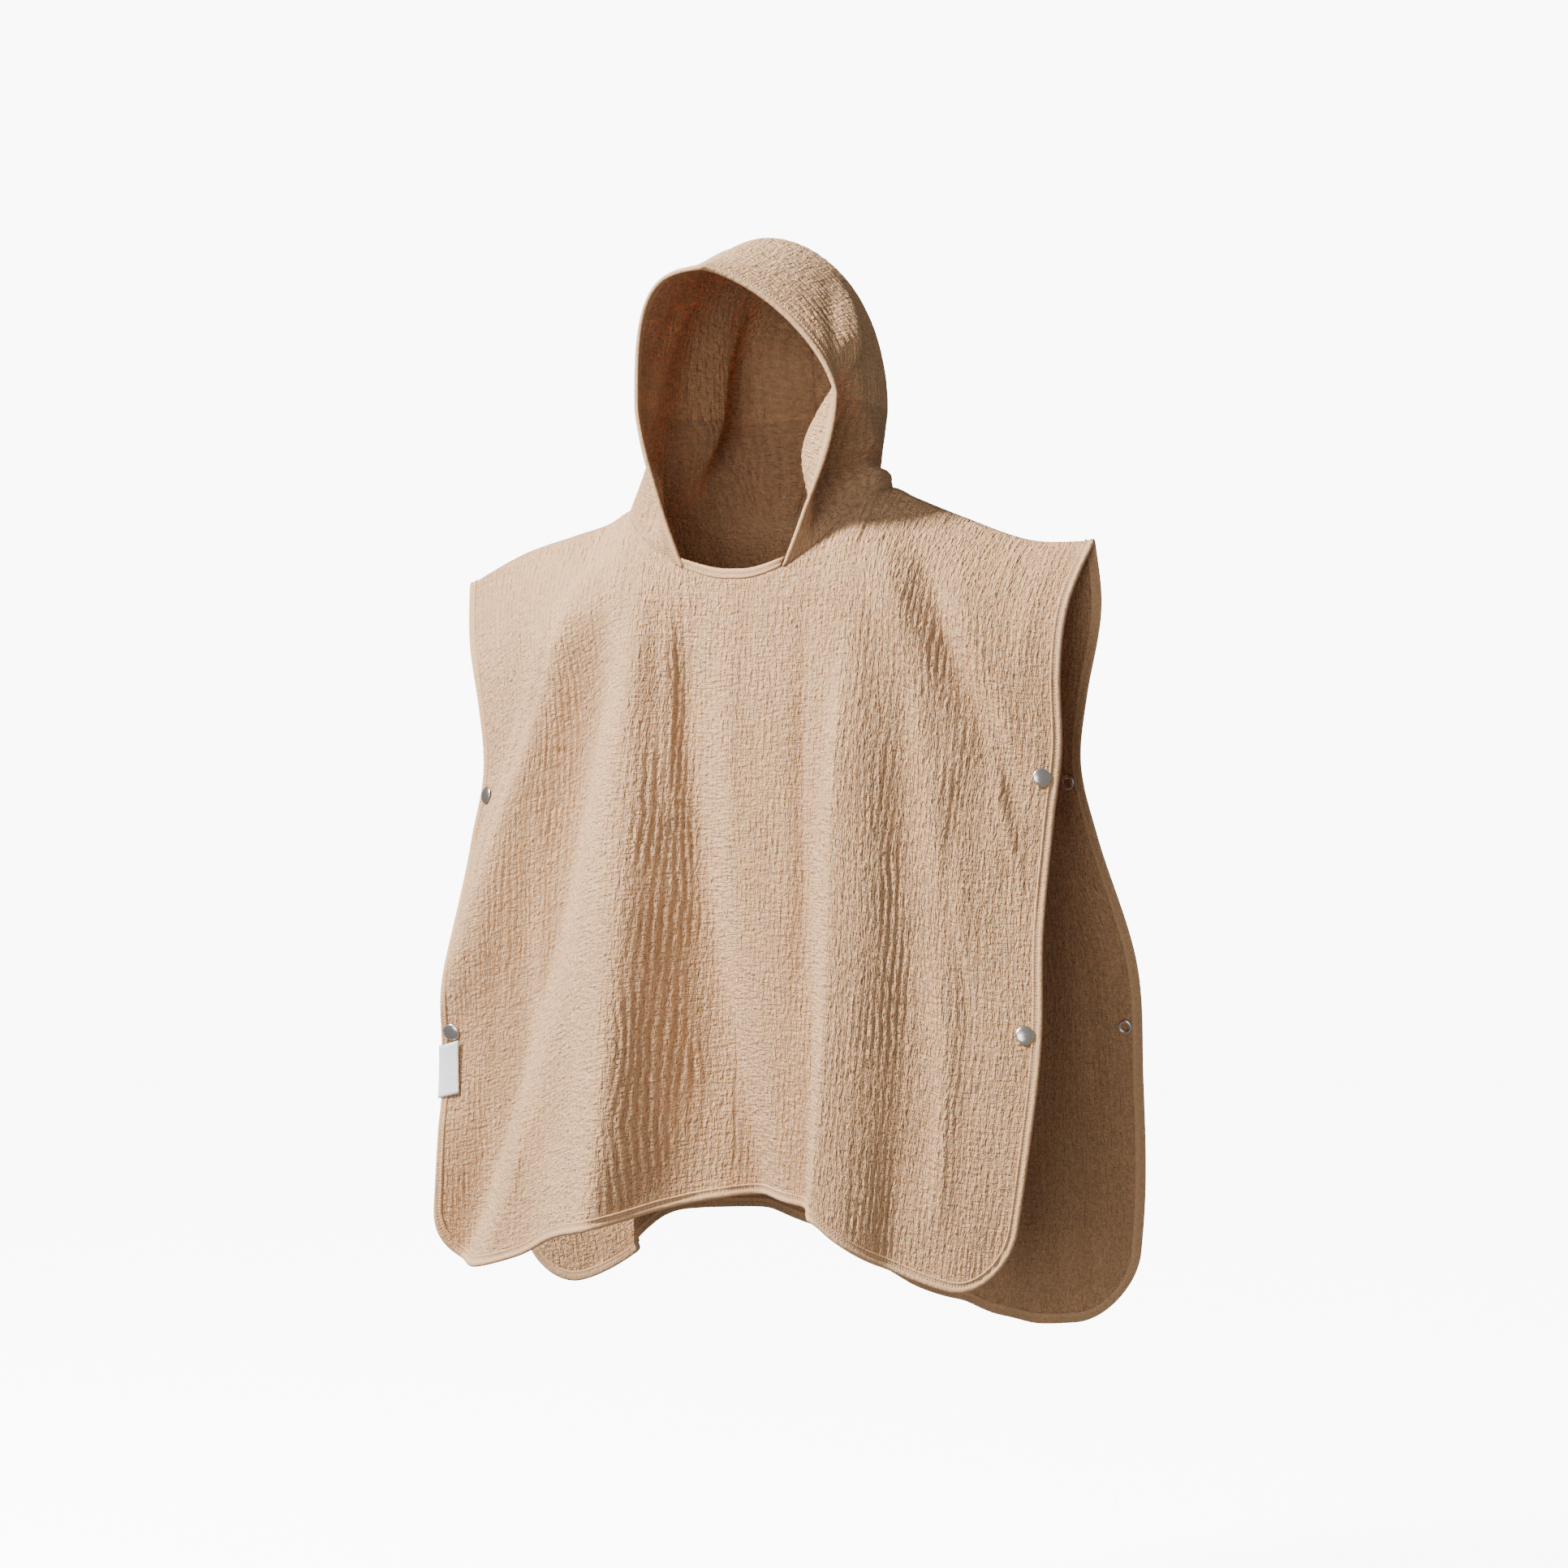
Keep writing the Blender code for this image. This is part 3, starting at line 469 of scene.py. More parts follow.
def gauze_material(name):
    """Sand-coloured cotton, matt, with a fine crepe between its crinkles and an open weave. Its colour is
    darker in the creases and crepe hollows, which is painted shade.
    """
    paint = Paint(name, 0.92, Sheen_Weight=0.06, Sheen_Roughness=0.6, Specular_IOR_Level=0.15,
                  Subsurface_Weight=0.30, Subsurface_Scale=0.0025, Subsurface_Radius=(1.0, 0.80, 0.60))
    ridge = paint.node("ShaderNodeAttribute", {"attribute_name": "ridge"}, output=2)
    crepe = paint.clouds(paint.flat((520, 130)), detail=1.0, warp=0.5)
    cross = paint.clouds(paint.flat((120, 400)), detail=0.0, warp=0.4)
    slub = paint.clouds(paint.flat((1300, 300)), detail=0.0)
    threads = paint.clouds(paint.flat((400, 1300)), detail=0.0)
    relief = crepe + cross * 0.50 + (slub + threads) * 0.30
    paint.bump(relief, 0.0055)
    # Painted shade: the base colour darkens in the creases of the crinkles and the hollows of the crepe,
    # following their height
    painted_crease_shade = paint.spread(ridge * 0.7 + crepe * 0.4, 0.15, 0.85)
    tone = painted_crease_shade * 0.40 + slub * 0.38 + threads * 0.38 + 0.10
    paint.feed(paint.shader.inputs["Base Color"], paint.mix(tone, GAUZE_DEEP_AND_CREASE_SHADE, GAUZE_LIGHT))
    return paint.material


gauze = gauze_material("gauze")
FRONT = Panel(FRONT_LENGTH, FRONT_NECK_DROP, FRONT_SECTIONS, FRONT_HANG, FRONT_FOLDS, -1, 11)
front_panel = panel_piece("front_gauze", FRONT)
front_panel.data.materials.append(gauze)
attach(front_panel, "root")
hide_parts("front_panel")

# --- Back panel --------------------------------------------------------------------------------
# The back is cut like the front but longer and with a shallow neck. Its hem swings in soft folds.
BACK_SECTIONS = [
    Section(0.00, 0.288, 0.022, -0.287, 0.022, 0.070),
    Section(0.06, 0.288, 0.028, -0.281, 0.028, 0.080),
    Section(0.13, 0.271, 0.040, -0.267, 0.038, 0.088),
    Section(0.19, 0.263, 0.049, -0.260, 0.045, 0.094),
    Section(0.25, 0.275, 0.056, -0.265, 0.050, 0.100),
    Section(0.36, 0.302, 0.087, -0.277, 0.062, 0.112),
    Section(0.46, 0.302, 0.110, -0.284, 0.072, 0.122),
    Section(0.56, 0.301, 0.120, -0.276, 0.078, 0.130),
    Section(0.665, 0.290, 0.128, -0.262, 0.082, 0.136),
]
BACK_HANG = [
    Hang(-0.300, -0.053, -0.690),
    Hang(-0.235, -0.027, -0.682),
    Hang(-0.180, -0.013, -0.655),
    Hang(-0.145, -0.004, -0.622),
    Hang(-0.118, 0.009, -0.617),
    Hang(-0.062, 0.012, -0.618),
    Hang(0.000, 0.012, -0.632),
    Hang(0.055, 0.013, -0.660),
    Hang(0.118, 0.016, -0.690),
    Hang(0.142, 0.006, -0.695),
    Hang(0.180, -0.010, -0.701),
    Hang(0.245, -0.034, -0.703),
    Hang(0.300, -0.037, -0.693),
]
BACK_FOLDS = [
    Fold(0.02, 0.26, 0.128, 0.200, 0.290, 0.038, 0.010, 0.005, 0.0),
    Fold(0.05, 0.665, 0.075, 0.110, 0.130, 0.046, 0.012, 0.026, 0.1),
    Fold(0.08, 0.62, 0.030, 0.045, 0.055, 0.040, -0.010, -0.016, 0.0),
    Fold(0.05, 0.665, -0.045, -0.055, -0.060, 0.044, 0.010, 0.024, 0.0),
    Fold(0.20, 0.665, -0.150, -0.160, -0.166, 0.040, -0.008, -0.044, 0.45),
    Fold(0.03, 0.30, -0.135, -0.205, -0.290, 0.036, 0.012, 0.004, 0.0),
    Fold(0.30, 0.665, 0.190, 0.205, 0.215, 0.040, -0.006, -0.016, 0.0),
    Fold(0.06, 0.32, 0.010, -0.002, -0.010, 0.016, 0.003, 0.002, 0.0),
    Fold(0.28, 0.60, 0.252, 0.258, 0.262, 0.018, 0.003, 0.005, 0.0),
    Fold(0.25, 0.58, -0.225, -0.232, -0.236, 0.022, 0.004, 0.006, 0.0),
]
BACK = Panel(BACK_LENGTH, BACK_NECK_DROP, BACK_SECTIONS, BACK_HANG, BACK_FOLDS, 1, 47)
back_panel = panel_piece("back_gauze", BACK)
back_panel.data.materials.append(gauze)
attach(back_panel, "root")
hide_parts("back_panel")

# --- Hood --------------------------------------------------------------------------------------
# Two mirrored halves of the same gauze meet in a centre seam and stand on the neck seam. Their
# crinkles follow the face opening.
HOOD_CELLS_ROUND = 210
HOOD_CELLS_UP = 130
HOOD_SEED = 83
FALL_WIDTH_CURVE = 1.4
FALL_DEPTH_CURVE = 1.6
ROUND_STEP = 0.003
UP_STEP = 0.01
Arch = namedtuple(
    "Arch", "round left_x right_x wide_y wide_z crown_x crown_y crown_z left_square right_square")
HOOD_ARCHES = [
    Arch(0.39, 0.0905, -0.0865, -0.092, 0.084, -0.011, -0.134, 0.186, 1.40, 0.58),
    Arch(0.65, 0.0925, -0.0890, -0.066, 0.086, -0.008, -0.106, 0.197, 1.05, 0.75),
    Arch(1.00, 0.0950, -0.0965, -0.012, 0.088, -0.004, -0.056, 0.220, 0.96, 0.88),
    Arch(1.30, 0.0940, -0.0950, 0.036, 0.090, 0.000, -0.006, 0.237, 0.98, 0.88),
    Arch(1.68, 0.0750, -0.0750, 0.086, 0.094, 0.000, 0.046, 0.226, 0.94, 0.88),
    Arch(1.87, 0.0460, -0.0460, 0.110, 0.097, 0.000, 0.070, 0.208, 0.90, 0.90),
    Arch(2.00, 0.0000, 0.0000, 0.120, 0.100, 0.000, 0.086, 0.190, 1.00, 1.00),
]

# The hood's soft folds: oval swells of the flat cloth, each at a distance round the neck and a
# height over the neck seam. Turned is in degrees from upright towards the nape, and a high below
# zero goes inwards. Side is 1 for the wearer's left.
HOOD_HEIGHT = 0.340
HOOD_CALM = 0.028
Swell = namedtuple("Swell", "side round height long wide turned high")
HOOD_SWELLS = [
    Swell(1, 0.084, 0.092, 0.140, 0.037, -4, -0.038),
    Swell(1, 0.046, 0.120, 0.080, 0.026, 0, 0.004),
    Swell(1, 0.097, 0.218, 0.065, 0.022, 43, 0.008),
    Swell(1, 0.116, 0.064, 0.034, 0.040, 10, -0.010),
    Swell(1, 0.136, 0.034, 0.016, 0.024, 20, 0.006),
    Swell(1, 0.190, 0.120, 0.110, 0.022, 4, -0.006),
    Swell(-1, 0.168, 0.160, 0.180, 0.030, 12, -0.022),
    Swell(-1, 0.203, 0.165, 0.170, 0.022, 10, 0.007),
    Swell(-1, 0.074, 0.060, 0.070, 0.024, -10, -0.010),
    Swell(-1, 0.110, 0.200, 0.090, 0.022, 24, -0.006),
    Swell(1, 0.104, 0.214, 0.060, 0.011, 40, 0.004),
    Swell(1, 0.140, 0.028, 0.012, 0.009, 60, 0.004),
    Swell(-1, 0.176, 0.150, 0.150, 0.012, 12, -0.006),
]


def neck_point(side, round_neck):
    """A point of the neck seam at a flat distance round the neck from the front's middle."""
    in_front = round_neck <= NECK_HALF_WIDTH
    across = np.where(in_front, round_neck, 2 * NECK_HALF_WIDTH - round_neck)
    front = FRONT.point(side * across, FRONT.neckline(across))
    back = BACK.point(side * across, BACK.neckline(across))
    return np.where(in_front[..., None], front, back)


def hood_form(side, round_neck, up):
    """A point of the hood without folds, from up 0 at the neck seam to 1 at the centre seam."""
    round_neck, up = np.broadcast_arrays(np.asarray(round_neck, float), np.asarray(up, float))
    foot = neck_point(side, round_neck) - np.array([0.0, 0.0, SEAM_GAP])
    half = "left" if side > 0 else "right"
    row = round_neck / NECK_HALF_WIDTH
    wide = np.stack([read(HOOD_ARCHES, name, row) for name in (half + "_x", "wide_y", "wide_z")], axis=-1)
    crown = np.stack([read(HOOD_ARCHES, name, row) for name in ("crown_x", "crown_y", "crown_z")], axis=-1)
    fall = np.clip(1 - 2 * up, 0.0, 1.0)
    low = np.stack([
        wide[..., 0] + (foot[..., 0] - wide[..., 0]) * fall ** FALL_WIDTH_CURVE,
        wide[..., 1] + (foot[..., 1] - wide[..., 1]) * fall ** FALL_DEPTH_CURVE,
        wide[..., 2] + (foot[..., 2] - wide[..., 2]) * fall,
    ], axis=-1)
    turn = np.clip(2 * up - 1, 0.0, 1.0) * np.pi / 2
    square = read(HOOD_ARCHES, half + "_square", row)
    high = np.stack([
        crown[..., 0] + (wide[..., 0] - crown[..., 0]) * np.maximum(np.cos(turn), 1e-9) ** square,
        wide[..., 1] + (crown[..., 1] - wide[..., 1]) * (1 - np.cos(turn)),
        wide[..., 2] + (crown[..., 2] - wide[..., 2]) * np.sin(turn) ** (0.1 + 0.9 * square),
    ], axis=-1)
    return np.where((up <= 0.5)[..., None], low, high)


def hood_normal(form, side, round_neck, up):
    """The direction straight out of a hood surface."""
    ahead = np.minimum(round_neck + ROUND_STEP, 2 * NECK_HALF_WIDTH)
    behind = np.maximum(round_neck - ROUND_STEP, FACE_HALF_WIDTH)
    over, under = np.minimum(up + UP_STEP, 1.0), np.maximum(up - UP_STEP, 0.0)
    backwards = form(side, ahead, up) - form(side, behind, up)
    upwards = form(side, round_neck, over) - form(side, round_neck, under)
    normal = unit(np.cross(backwards, upwards)) * side
    at_seam = (up > 0.995) | (round_neck > 2 * NECK_HALF_WIDTH - 0.001)
    normal[..., 0] = np.where(at_seam, 0.0, normal[..., 0])
    return unit(normal)


def hood_lift(side, round_neck, up):
    """How far all the hood's folds together stand out at a place, and nothing at its seams."""
    total = np.zeros_like(round_neck)
    for swell in HOOD_SWELLS:
        if swell.side != side:
            continue
        turned = math.radians(swell.turned)
        back, above = round_neck - swell.round, up * HOOD_HEIGHT - swell.height
        along = above * math.cos(turned) + back * math.sin(turned)
        beside = back * math.cos(turned) - above * math.sin(turned)
        off = np.minimum(np.hypot(along / swell.long, beside / swell.wide), 1.0)
        total += swell.high * 0.5 * (1 + np.cos(np.pi * off))
    to_seam = np.minimum(np.minimum(up, 1 - up) * HOOD_HEIGHT, 2 * NECK_HALF_WIDTH - round_neck)
    return total * smooth(to_seam / HOOD_CALM)


def hood_point(side, round_neck, up):
    """A point of the hood, half way through its cloth."""
    round_neck, up = np.broadcast_arrays(np.asarray(round_neck, float), np.asarray(up, float))
    lift = hood_lift(side, round_neck, up)[..., None]
    return hood_form(side, round_neck, up) + hood_normal(hood_form, side, round_neck, up) * lift


def hood_relief(side, round_neck, up):
    """The height of the hood's crinkles, pressed flat beside its binding and its centre seam."""
    from_edge = np.minimum(round_neck - FACE_HALF_WIDTH - PRESSED_WIDTH, (1 - up) * HOOD_HEIGHT)
    calm = smooth(from_edge / CALM_WIDTH) * smooth(up * HOOD_HEIGHT / SEAM_CALM)
    pressed = PRESSED_SHARE + (1 - PRESSED_SHARE) * calm
    return crinkle(round_neck, up * HOOD_HEIGHT, HOOD_SEED + side) * pressed


def hood_piece(name, side):
    """One half of the hood behind its binding."""
    rounds = np.linspace(FACE_HALF_WIDTH + PRESSED_WIDTH, 2 * NECK_HALF_WIDTH, HOOD_CELLS_ROUND + 1)
    ups = np.linspace(0.0, 1.0, HOOD_CELLS_UP + 1)
    rounds, ups = np.meshgrid(rounds, ups)
    relief = hood_relief(side, rounds, ups)
    points = hood_point(side, rounds, ups)
    points = points + hood_normal(hood_point, side, rounds, ups) * relief[..., None]
    flat = np.stack([rounds + side * 0.5, ups * HOOD_HEIGHT], axis=-1)
    return thicken(grid_piece(name, points, flat, relief), CLOTH_THICKNESS)


for side, side_name in ((1, "left"), (-1, "right")):
    hood_half = hood_piece("hood_gauze_" + side_name, side)
    hood_half.data.materials.append(gauze)
    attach(hood_half, "root")
    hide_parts("hood_" + side_name)

# --- Bindings ----------------------------------------------------------------------------------
# A bias strip of the same gauze, pressed flat, is folded over every free edge and held by a
# cover stitch: two rows of stitches and a ladder between them outside, and a zigzag inside. Its
# outer half rolls round the edge.
BINDING_PROFILE = [
    (0.0000, 0.0003), (0.0002, 0.0016), (0.0010, 0.0021), (0.0019, 0.0013), (0.0030, 0.0011),
    (0.0042, 0.0012), (0.0051, 0.0019), (0.0064, 0.0023), (0.0079, 0.0020), (0.0089, 0.0010),
    (0.0091, -0.0003), (0.0086, -0.0015), (0.0070, -0.0019), (0.0045, -0.0015), (0.0020, -0.0013),
    (0.0009, -0.0018), (0.0001, -0.0012), (0.0000, 0.0003),
]
BINDING_STEP = 0.0028
BINDING_CUT = 0.012
HOOD_EDGE_LENGTH = 0.62
NECK_EDGE_LENGTH = 0.10
NECK_EDGE_STEP = 0.006
BINDING_LIGHT = (0.640, 0.400, 0.215, 1.0)
BINDING_DEEP = (0.380, 0.195, 0.090, 1.0)


def binding_material(name):
    """The same cotton on the bias, pressed smooth, with its stitches."""
    paint = Paint(name, 0.88, Sheen_Weight=0.06, Sheen_Roughness=0.6, Specular_IOR_Level=0.2)
    place = paint.node("ShaderNodeUVMap", {"uv_map": "cut"})
    round_edge = paint.node("ShaderNodeSeparateXYZ", inputs={0: place})
    along = paint.node("ShaderNodeSeparateXYZ", inputs={0: place}, output=1)

    def wave(value):
        return paint.node("ShaderNodeMath", {"operation": "SINE"}, {0: value})

    def band(centre, half_width):
        """One inside a band round the edge, falling to zero at its sides."""
        gap = paint.node("ShaderNodeMath", {"operation": "ABSOLUTE"}, {0: round_edge - centre})
        return paint.spread(gap, half_width, half_width * 0.5)

    stitch = wave(along * (2 * math.pi / 0.0026)) * 0.5 + 0.5
    rows = band(0.0030, 0.0007) + band(0.0056, 0.0006)
    ladder = band(0.0043, 0.0014) * (wave(along * (2 * math.pi / 0.0013)) * 0.5 + 0.5)
    zigzag = paint.node("ShaderNodeMath", {"operation": "PINGPONG"}, {0: along, 1: 0.0016})
    swing = paint.node("ShaderNodeMath", {"operation": "ABSOLUTE"}, {0: round_edge - zigzag * 2.2 - 0.0140})
    inside = paint.spread(swing, 0.0007, 0.0003) + band(0.0136, 0.0005) + band(0.0180, 0.0005)
    puckers = paint.clouds(paint.flat((260, 330)), detail=1.0)
    threads = paint.clouds(paint.flat((1500, 1500)), detail=0.0)
    stitches = rows * (stitch * 0.9 - 0.35) + ladder * 0.45 + inside * 0.6
    paint.bump(puckers * 1.1 + threads * 0.3 + stitches, 0.0009)
    tone = puckers * 0.45 + threads * 0.35 + stitches * 0.40 + 0.15
    paint.feed(paint.shader.inputs["Base Color"], paint.mix(tone, BINDING_DEEP, BINDING_LIGHT))
    return paint.material


binding = binding_material("binding")


def binding_piece(name, place, along, length):
    """A binding swept along an edge. Place gives the points for along, width and raised."""
    widths = np.array([width for width, _ in BINDING_PROFILE])
    heights = np.array([height for _, height in BINDING_PROFILE])
    rounds = np.concatenate([[0.0], np.cumsum(np.hypot(np.diff(widths), np.diff(heights)))])
    steps = np.broadcast_to(along[:, None], (len(along), len(widths)))
    runs = np.broadcast_to(np.linspace(0.0, length, len(along))[:, None], steps.shape)
    points = place(steps, np.broadcast_to(widths, steps.shape), np.broadcast_to(heights, steps.shape))
    flat = np.stack([np.broadcast_to(rounds, steps.shape), runs], axis=-1)
    piece = grid_piece(name, points, flat)
    strip = bmesh.new()
    strip.from_mesh(piece.data)
    bmesh.ops.remove_doubles(strip, verts=strip.verts[:], dist=0.00001)
    bmesh.ops.holes_fill(strip, edges=[edge for edge in strip.edges if edge.is_boundary], sides=40)
    bmesh.ops.recalc_face_normals(strip, faces=strip.faces[:])
    if strip.calc_volume(signed=True) < 0:
        bmesh.ops.reverse_faces(strip, faces=strip.faces[:])
    strip.to_mesh(piece.data)
    strip.free()
    piece.data.materials.append(binding)
    return piece


def panel_edge_length(panel):
    """The flat length of a panel's side, hem and side."""
    straight = 2 * (panel.length - CORNER_RADIUS) + PANEL_WIDTH - 2 * CORNER_RADIUS
    return straight + math.pi * (CORNER_RADIUS - BINDING_WIDTH)


def panel_edge(panel):
    """A function that places points along a panel's free edge, for its binding."""
    inner = CORNER_RADIUS - BINDING_WIDTH
    side = panel.length - CORNER_RADIUS
    hem = PANEL_WIDTH - 2 * CORNER_RADIUS
    corner = inner * math.pi / 2

    def place(along, width, raised):
        along, width, raised = np.broadcast_arrays(along, width, raised)
        first = np.clip((along - side) / corner, 0, 1) * math.pi / 2
        second = np.clip((along - side - corner - hem) / corner, 0, 1) * math.pi / 2
        angle = first + second
        down_side = np.minimum(along, side)
        hem_run = np.clip(along - side - corner, 0, hem)
        up_side = np.clip(along - side - 2 * corner - hem, 0, side)
        reach = inner + width
        on_left = second <= 0
        across = np.where(on_left, hem / 2, -hem / 2) - np.where(second > 0, 0, hem_run)
        across = np.where(second > 0, -hem / 2, across)
        across = across + reach * np.cos(angle)
        down = np.where(on_left, down_side, side - up_side) + reach * np.sin(angle)
        return panel.cloth(across, down, raised)

    return place


def hood_edge(along, width, raised):
    """Places along the hood's free edge, from its left end over the crown to its right end."""
    along, width, raised = np.broadcast_arrays(along, width, raised)
    found = np.zeros(along.shape + (3,))
    for side in (1, -1):
        up = np.clip(1 - np.abs(along), 0.0, 1.0)
        edge = hood_point(side, np.full_like(up, FACE_HALF_WIDTH), up)
        inner = hood_point(side, np.full_like(up, FACE_HALF_WIDTH + BINDING_CUT), up)
        inwards = unit(inner - edge)
        beside = np.full_like(up, FACE_HALF_WIDTH + 0.002)
        through = hood_normal(hood_point, side, beside, up)
        here = edge + inwards * (BINDING_WIDTH - width)[..., None] + through * raised[..., None]
        chosen = (along <= 0) if side > 0 else (along > 0)
        found = np.where(chosen[..., None], here, found)
    return found


def neckline_edge(along, width, raised):
    """Places along the front neckline between the hood's two ends."""
    along, width, raised = np.broadcast_arrays(along, width, raised)
    seam = FRONT.point(along, FRONT.neckline(along))
    below = FRONT.point(along, FRONT.neckline(along) + NECK_EDGE_STEP)
    upwards = unit(seam - below)
    ends = {}
    for side in (1, -1):
        feet = hood_point(side, np.array([FACE_HALF_WIDTH]), np.array([0.0]))
        over = hood_point(side, np.array([FACE_HALF_WIDTH]), np.array([0.07]))
        ends[side] = unit(over - feet)[0]
    follow = (np.abs(along) / FACE_HALF_WIDTH)[..., None] ** 3
    towards = np.where((along > 0)[..., None], ends[1], ends[-1])
    upwards = unit(upwards * (1 - follow) + towards * follow)
    forward = FRONT.outward(along, FRONT.neckline(along) + NECK_EDGE_STEP)
    return seam + upwards * width[..., None] + forward * raised[..., None]


def sew_on(piece, node):
    """Let a finished binding stand for its node."""
    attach(piece, "root")
    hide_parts(node)


for side_name, panel in (("front", FRONT), ("back", BACK)):
    length = panel_edge_length(panel)
    places = np.linspace(0.0, length, round(length / BINDING_STEP))
    strip = binding_piece(side_name + "_edge_binding", panel_edge(panel), places, length)
    sew_on(strip, side_name + "_binding")

strip = binding_piece("hood_edge_binding", hood_edge, np.linspace(-1.0, 1.0, 240), HOOD_EDGE_LENGTH)
sew_on(strip, "hood_binding")

reach = FACE_HALF_WIDTH - 3 * SEAM_GAP
strip = binding_piece("neck_edge_binding", neckline_edge, np.linspace(-reach, reach, 44), NECK_EDGE_LENGTH)
sew_on(strip, "neckline_binding")

# --- Label -------------------------------------------------------------------------------------
# A small woven label, folded over the front's edge on the wearer's right. It is bare.
LABEL_DOWN = 0.422
LABEL_LENGTH = 0.047
LABEL_WIDTH = 0.024
LABEL_SEAT = 0.0028
LABEL_THICKNESS = 0.0006

turns = np.linspace(math.pi / 2, 3 * math.pi / 2, 9)
sides = np.linspace(LABEL_WIDTH, 0.0, 12)[:-1]
inwards = np.concatenate([sides, LABEL_SEAT * np.cos(turns), sides[::-1]])
raised = np.concatenate([0 * sides + LABEL_SEAT, LABEL_SEAT * np.sin(turns), 0 * sides - LABEL_SEAT])
inwards, downs = np.meshgrid(inwards, LABEL_DOWN + np.linspace(0.0, LABEL_LENGTH, 18))
raised = np.broadcast_to(raised, inwards.shape)
lifts = 0.0009 * np.sin(inwards / LABEL_WIDTH * 2.2) * np.sign(raised) * np.cos((downs - LABEL_DOWN) * 42)
across = -PANEL_WIDTH / 2 + np.maximum(inwards, 0.0)
ahead = FRONT.point(across + SLOPE_STEP, downs) - FRONT.point(across - SLOPE_STEP, downs)
points = FRONT.point(across, downs) + unit(ahead) * np.minimum(inwards, 0.0)[..., None]
points = points + FRONT.outward(across, downs) * (raised + lifts)[..., None]
around = np.broadcast_to(np.linspace(0.0, 0.054, inwards.shape[1]), inwards.shape)
label = thicken(grid_piece("woven_label", points, np.stack([around, downs], axis=-1)), LABEL_THICKNESS)

paint = Paint("woven_label", 0.6, Sheen_Weight=0.1)
weft = paint.clouds(paint.flat((400, 2600)), detail=0.0)
warp = paint.clouds(paint.flat((2600, 400)), detail=0.0)
paint.bump(weft + warp, 0.0003)
paint.feed(paint.shader.inputs["Base Color"],
           paint.mix(weft * 0.5 + warp * 0.5, (0.66, 0.65, 0.68, 1.0), (0.80, 0.79, 0.82, 1.0)))
label.data.materials.append(paint.material)
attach(label, "root")
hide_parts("label")

# --- Snaps -------------------------------------------------------------------------------------
# Two snaps close each side. Each has a domed cap outside the front and its stud inside, and a
# sprung socket and its ring on the back, all of bright nickel-plated brass.
SNAP_FROM_EDGE = 0.0145
SNAP_SEAT = 0.0019
SNAP_STEPS = 40
SNAP_PLACES = [("upper", 0.205), ("lower", 0.413)]
CAP_PROFILE = [
    (0.0, 0.00205), (0.0016, 0.00202), (0.0034, 0.00186), (0.0050, 0.00158), (0.0063, 0.00120),
    (0.0071, 0.00082), (0.0075, 0.00045), (0.0075, 0.00018), (0.0072, 0.0), (0.0, 0.0),
]
STUD_PROFILE = [
    (0.0, 0.0034), (0.0014, 0.0034), (0.0021, 0.0031), (0.0024, 0.0027), (0.0020, 0.0019),
    (0.0022, 0.0011), (0.0030, 0.0008), (0.0054, 0.0008), (0.0060, 0.0005), (0.0060, 0.0), (0.0, 0.0),
]
SOCKET_PROFILE = [
    (0.0030, 0.0026), (0.0033, 0.0030), (0.0044, 0.0030), (0.0049, 0.0026), (0.0053, 0.0012),
    (0.0060, 0.0009), (0.0065, 0.0006), (0.0065, 0.0), (0.0030, 0.0), (0.0030, 0.0026),
]
RING_PROFILE = [
    (0.0036, 0.0010), (0.0041, 0.0014), (0.0052, 0.0015), (0.0060, 0.0012), (0.0064, 0.0007),
    (0.0064, 0.0), (0.0036, 0.0), (0.0036, 0.0010),
]

paint = Paint("nickel", 0.24, Metallic=1.0, Base_Color=(0.66, 0.62, 0.57, 1.0))
spots = paint.node("ShaderNodeTexCoord", output=3)
scuffs = paint.node("ShaderNodeTexNoise", inputs={"Vector": spots, "Scale": 900.0, "Detail": 2.0})
paint.feed(paint.shader.inputs["Roughness"], scuffs * 0.16 + 0.16)
nickel = paint.material


def snap_piece(name, node, profile, panel, side, down, face):
    """Turn one metal part of a snap and seat it on the outside (1) or the inside (-1)."""
    turned = bmesh.new()
    corners = [turned.verts.new((radius, 0.0, height)) for radius, height in profile]
    for start, end in zip(corners, corners[1:]):
        turned.edges.new((start, end))
    bmesh.ops.spin(turned, geom=turned.verts[:] + turned.edges[:], cent=(0, 0, 0), axis=(0, 0, 1),
                   angle=2 * math.pi, steps=SNAP_STEPS, use_merge=True)
    bmesh.ops.remove_doubles(turned, verts=turned.verts[:], dist=0.00001)
    bmesh.ops.recalc_face_normals(turned, faces=turned.faces[:])
    across = np.array(side * (PANEL_WIDTH / 2 - SNAP_FROM_EDGE))
    outward = Vector(panel.outward(across, np.array(down)))
    seat = Vector(panel.point(across, down)) + outward * face * SNAP_SEAT
    lean = (outward * face).to_track_quat("Z", "Y").to_matrix().to_4x4()
    bmesh.ops.transform(turned, matrix=Matrix.Translation(seat) @ lean, verts=turned.verts[:])
    for part in turned.faces:
        part.smooth = True
    mesh = bpy.data.meshes.new(name)
    turned.to_mesh(mesh)
    turned.free()
    mesh.set_sharp_from_angle(angle=math.radians(50))
    mesh.materials.append(nickel)
    piece = bpy.data.objects.new(name, mesh)
    bpy.context.scene.collection.objects.link(piece)
    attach(piece, "root")
    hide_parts(node)


for side, side_name in ((1, "left"), (-1, "right")):
    for level, down in SNAP_PLACES:
        where = side_name + "_" + level
        snap_piece("nickel_cap_" + where, "snap_cap_" + where, CAP_PROFILE, FRONT, side, down, 1)
        snap_piece("nickel_stud_" + where, "snap_stud_" + where, STUD_PROFILE, FRONT, side, down, -1)
        snap_piece("nickel_socket_" + where, "snap_socket_" + where, SOCKET_PROFILE, BACK, side, down, 1)
        snap_piece("nickel_ring_" + where, "snap_ring_" + where, RING_PROFILE, BACK, side, down, -1)

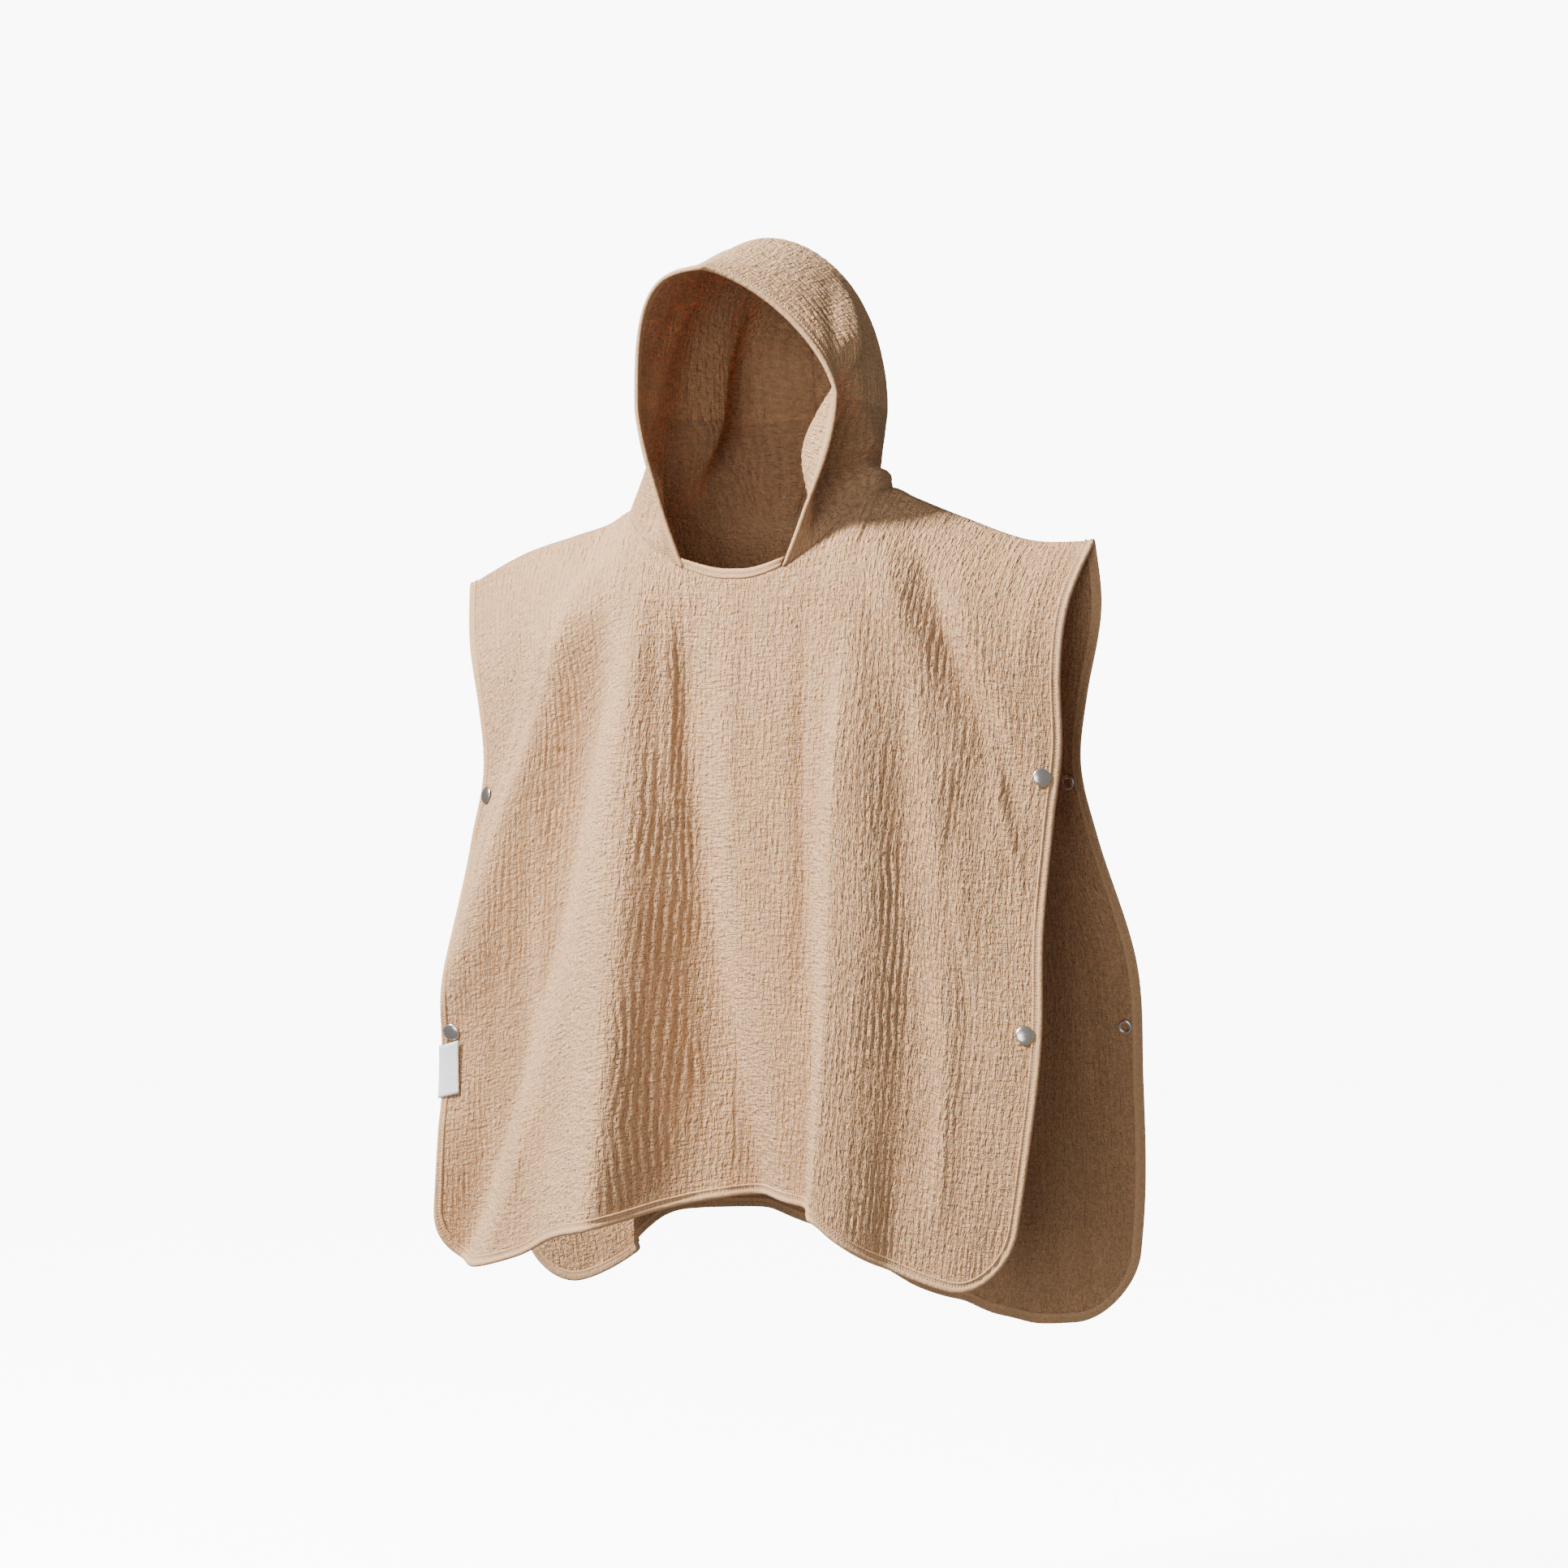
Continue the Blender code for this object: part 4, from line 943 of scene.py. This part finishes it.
# --- Studio ------------------------------------------------------------------------------------
# A pale seamless room, a soft key from the upper left and a weak fill beside the camera, which
# stands a little to the wearer's left.
CAMERA_AZIMUTH = math.radians(20)
CAMERA_ELEVATION = math.radians(-2)
CAMERA_DISTANCE = 2.4
CAMERA_TARGET = Vector((0.0118, 0.0043, -0.235))
CAMERA_LENS = 63.9
FLOOR_Z = -1.05
ROOM_RADIUS = 9.0
ROOM_GLOW = 9.0
WORLD_GLOW = 0.30

back_way = Vector((
    math.sin(CAMERA_AZIMUTH) * math.cos(CAMERA_ELEVATION),
    -math.cos(CAMERA_AZIMUTH) * math.cos(CAMERA_ELEVATION),
    math.sin(CAMERA_ELEVATION),
))
right_way = Vector((math.cos(CAMERA_AZIMUTH), math.sin(CAMERA_AZIMUTH), 0.0))
up_way = back_way.cross(right_way)
camera_data = bpy.data.cameras.new("camera")
camera_data.sensor_width = 36
camera_data.lens = CAMERA_LENS
camera = bpy.data.objects.new("camera", camera_data)
turned = Matrix((right_way, up_way, back_way)).transposed().to_4x4()
camera.matrix_world = Matrix.Translation(CAMERA_TARGET + back_way * CAMERA_DISTANCE) @ turned
bpy.context.scene.collection.objects.link(camera)
bpy.context.scene.camera = camera

room = bmesh.new()
bmesh.ops.create_uvsphere(room, u_segments=48, v_segments=24, radius=ROOM_RADIUS)
for corner in room.verts:
    corner.co.z = max(corner.co.z, FLOOR_Z)
bmesh.ops.reverse_faces(room, faces=room.faces[:])
room_mesh = bpy.data.meshes.new("floor_and_sweep")
room.to_mesh(room_mesh)
room.free()
floor = bpy.data.objects.new("floor_and_sweep", room_mesh)
bpy.context.scene.collection.objects.link(floor)
pale = (1.0, 1.0, 1.0, 1.0)
glow = {"Base_Color": pale, "Emission_Color": pale, "Emission_Strength": ROOM_GLOW}
floor_paint = Paint("floor_and_sweep", 0.9, **glow)
floor.data.materials.append(floor_paint.material)
floor.visible_diffuse = False
floor.visible_shadow = False
floor.visible_glossy = False


def soft_light(name, way, distance, size, power):
    """A square soft light that looks at the middle of the poncho."""
    light = bpy.data.lights.new(name, "AREA")
    light.size = size
    light.energy = power
    lamp = bpy.data.objects.new(name, light)
    way = way.normalized()
    turn = way.to_track_quat("Z", "Y").to_matrix().to_4x4()
    lamp.matrix_world = Matrix.Translation(CAMERA_TARGET + way * distance) @ turn
    bpy.context.scene.collection.objects.link(lamp)


soft_light("key", right_way * -1.50 + up_way * 1.50 + back_way * 0.85, 3.4, 0.45, 480)
soft_light("fill", right_way * -0.35 + up_way * 0.05 + back_way * 1.0, 3.2, 1.6, 44)
world = bpy.data.worlds.new("studio")
bpy.context.scene.world = world
world.use_nodes = True
sky = world.node_tree.nodes["Background"]
sky.inputs["Color"].default_value = pale
sky.inputs["Strength"].default_value = WORLD_GLOW
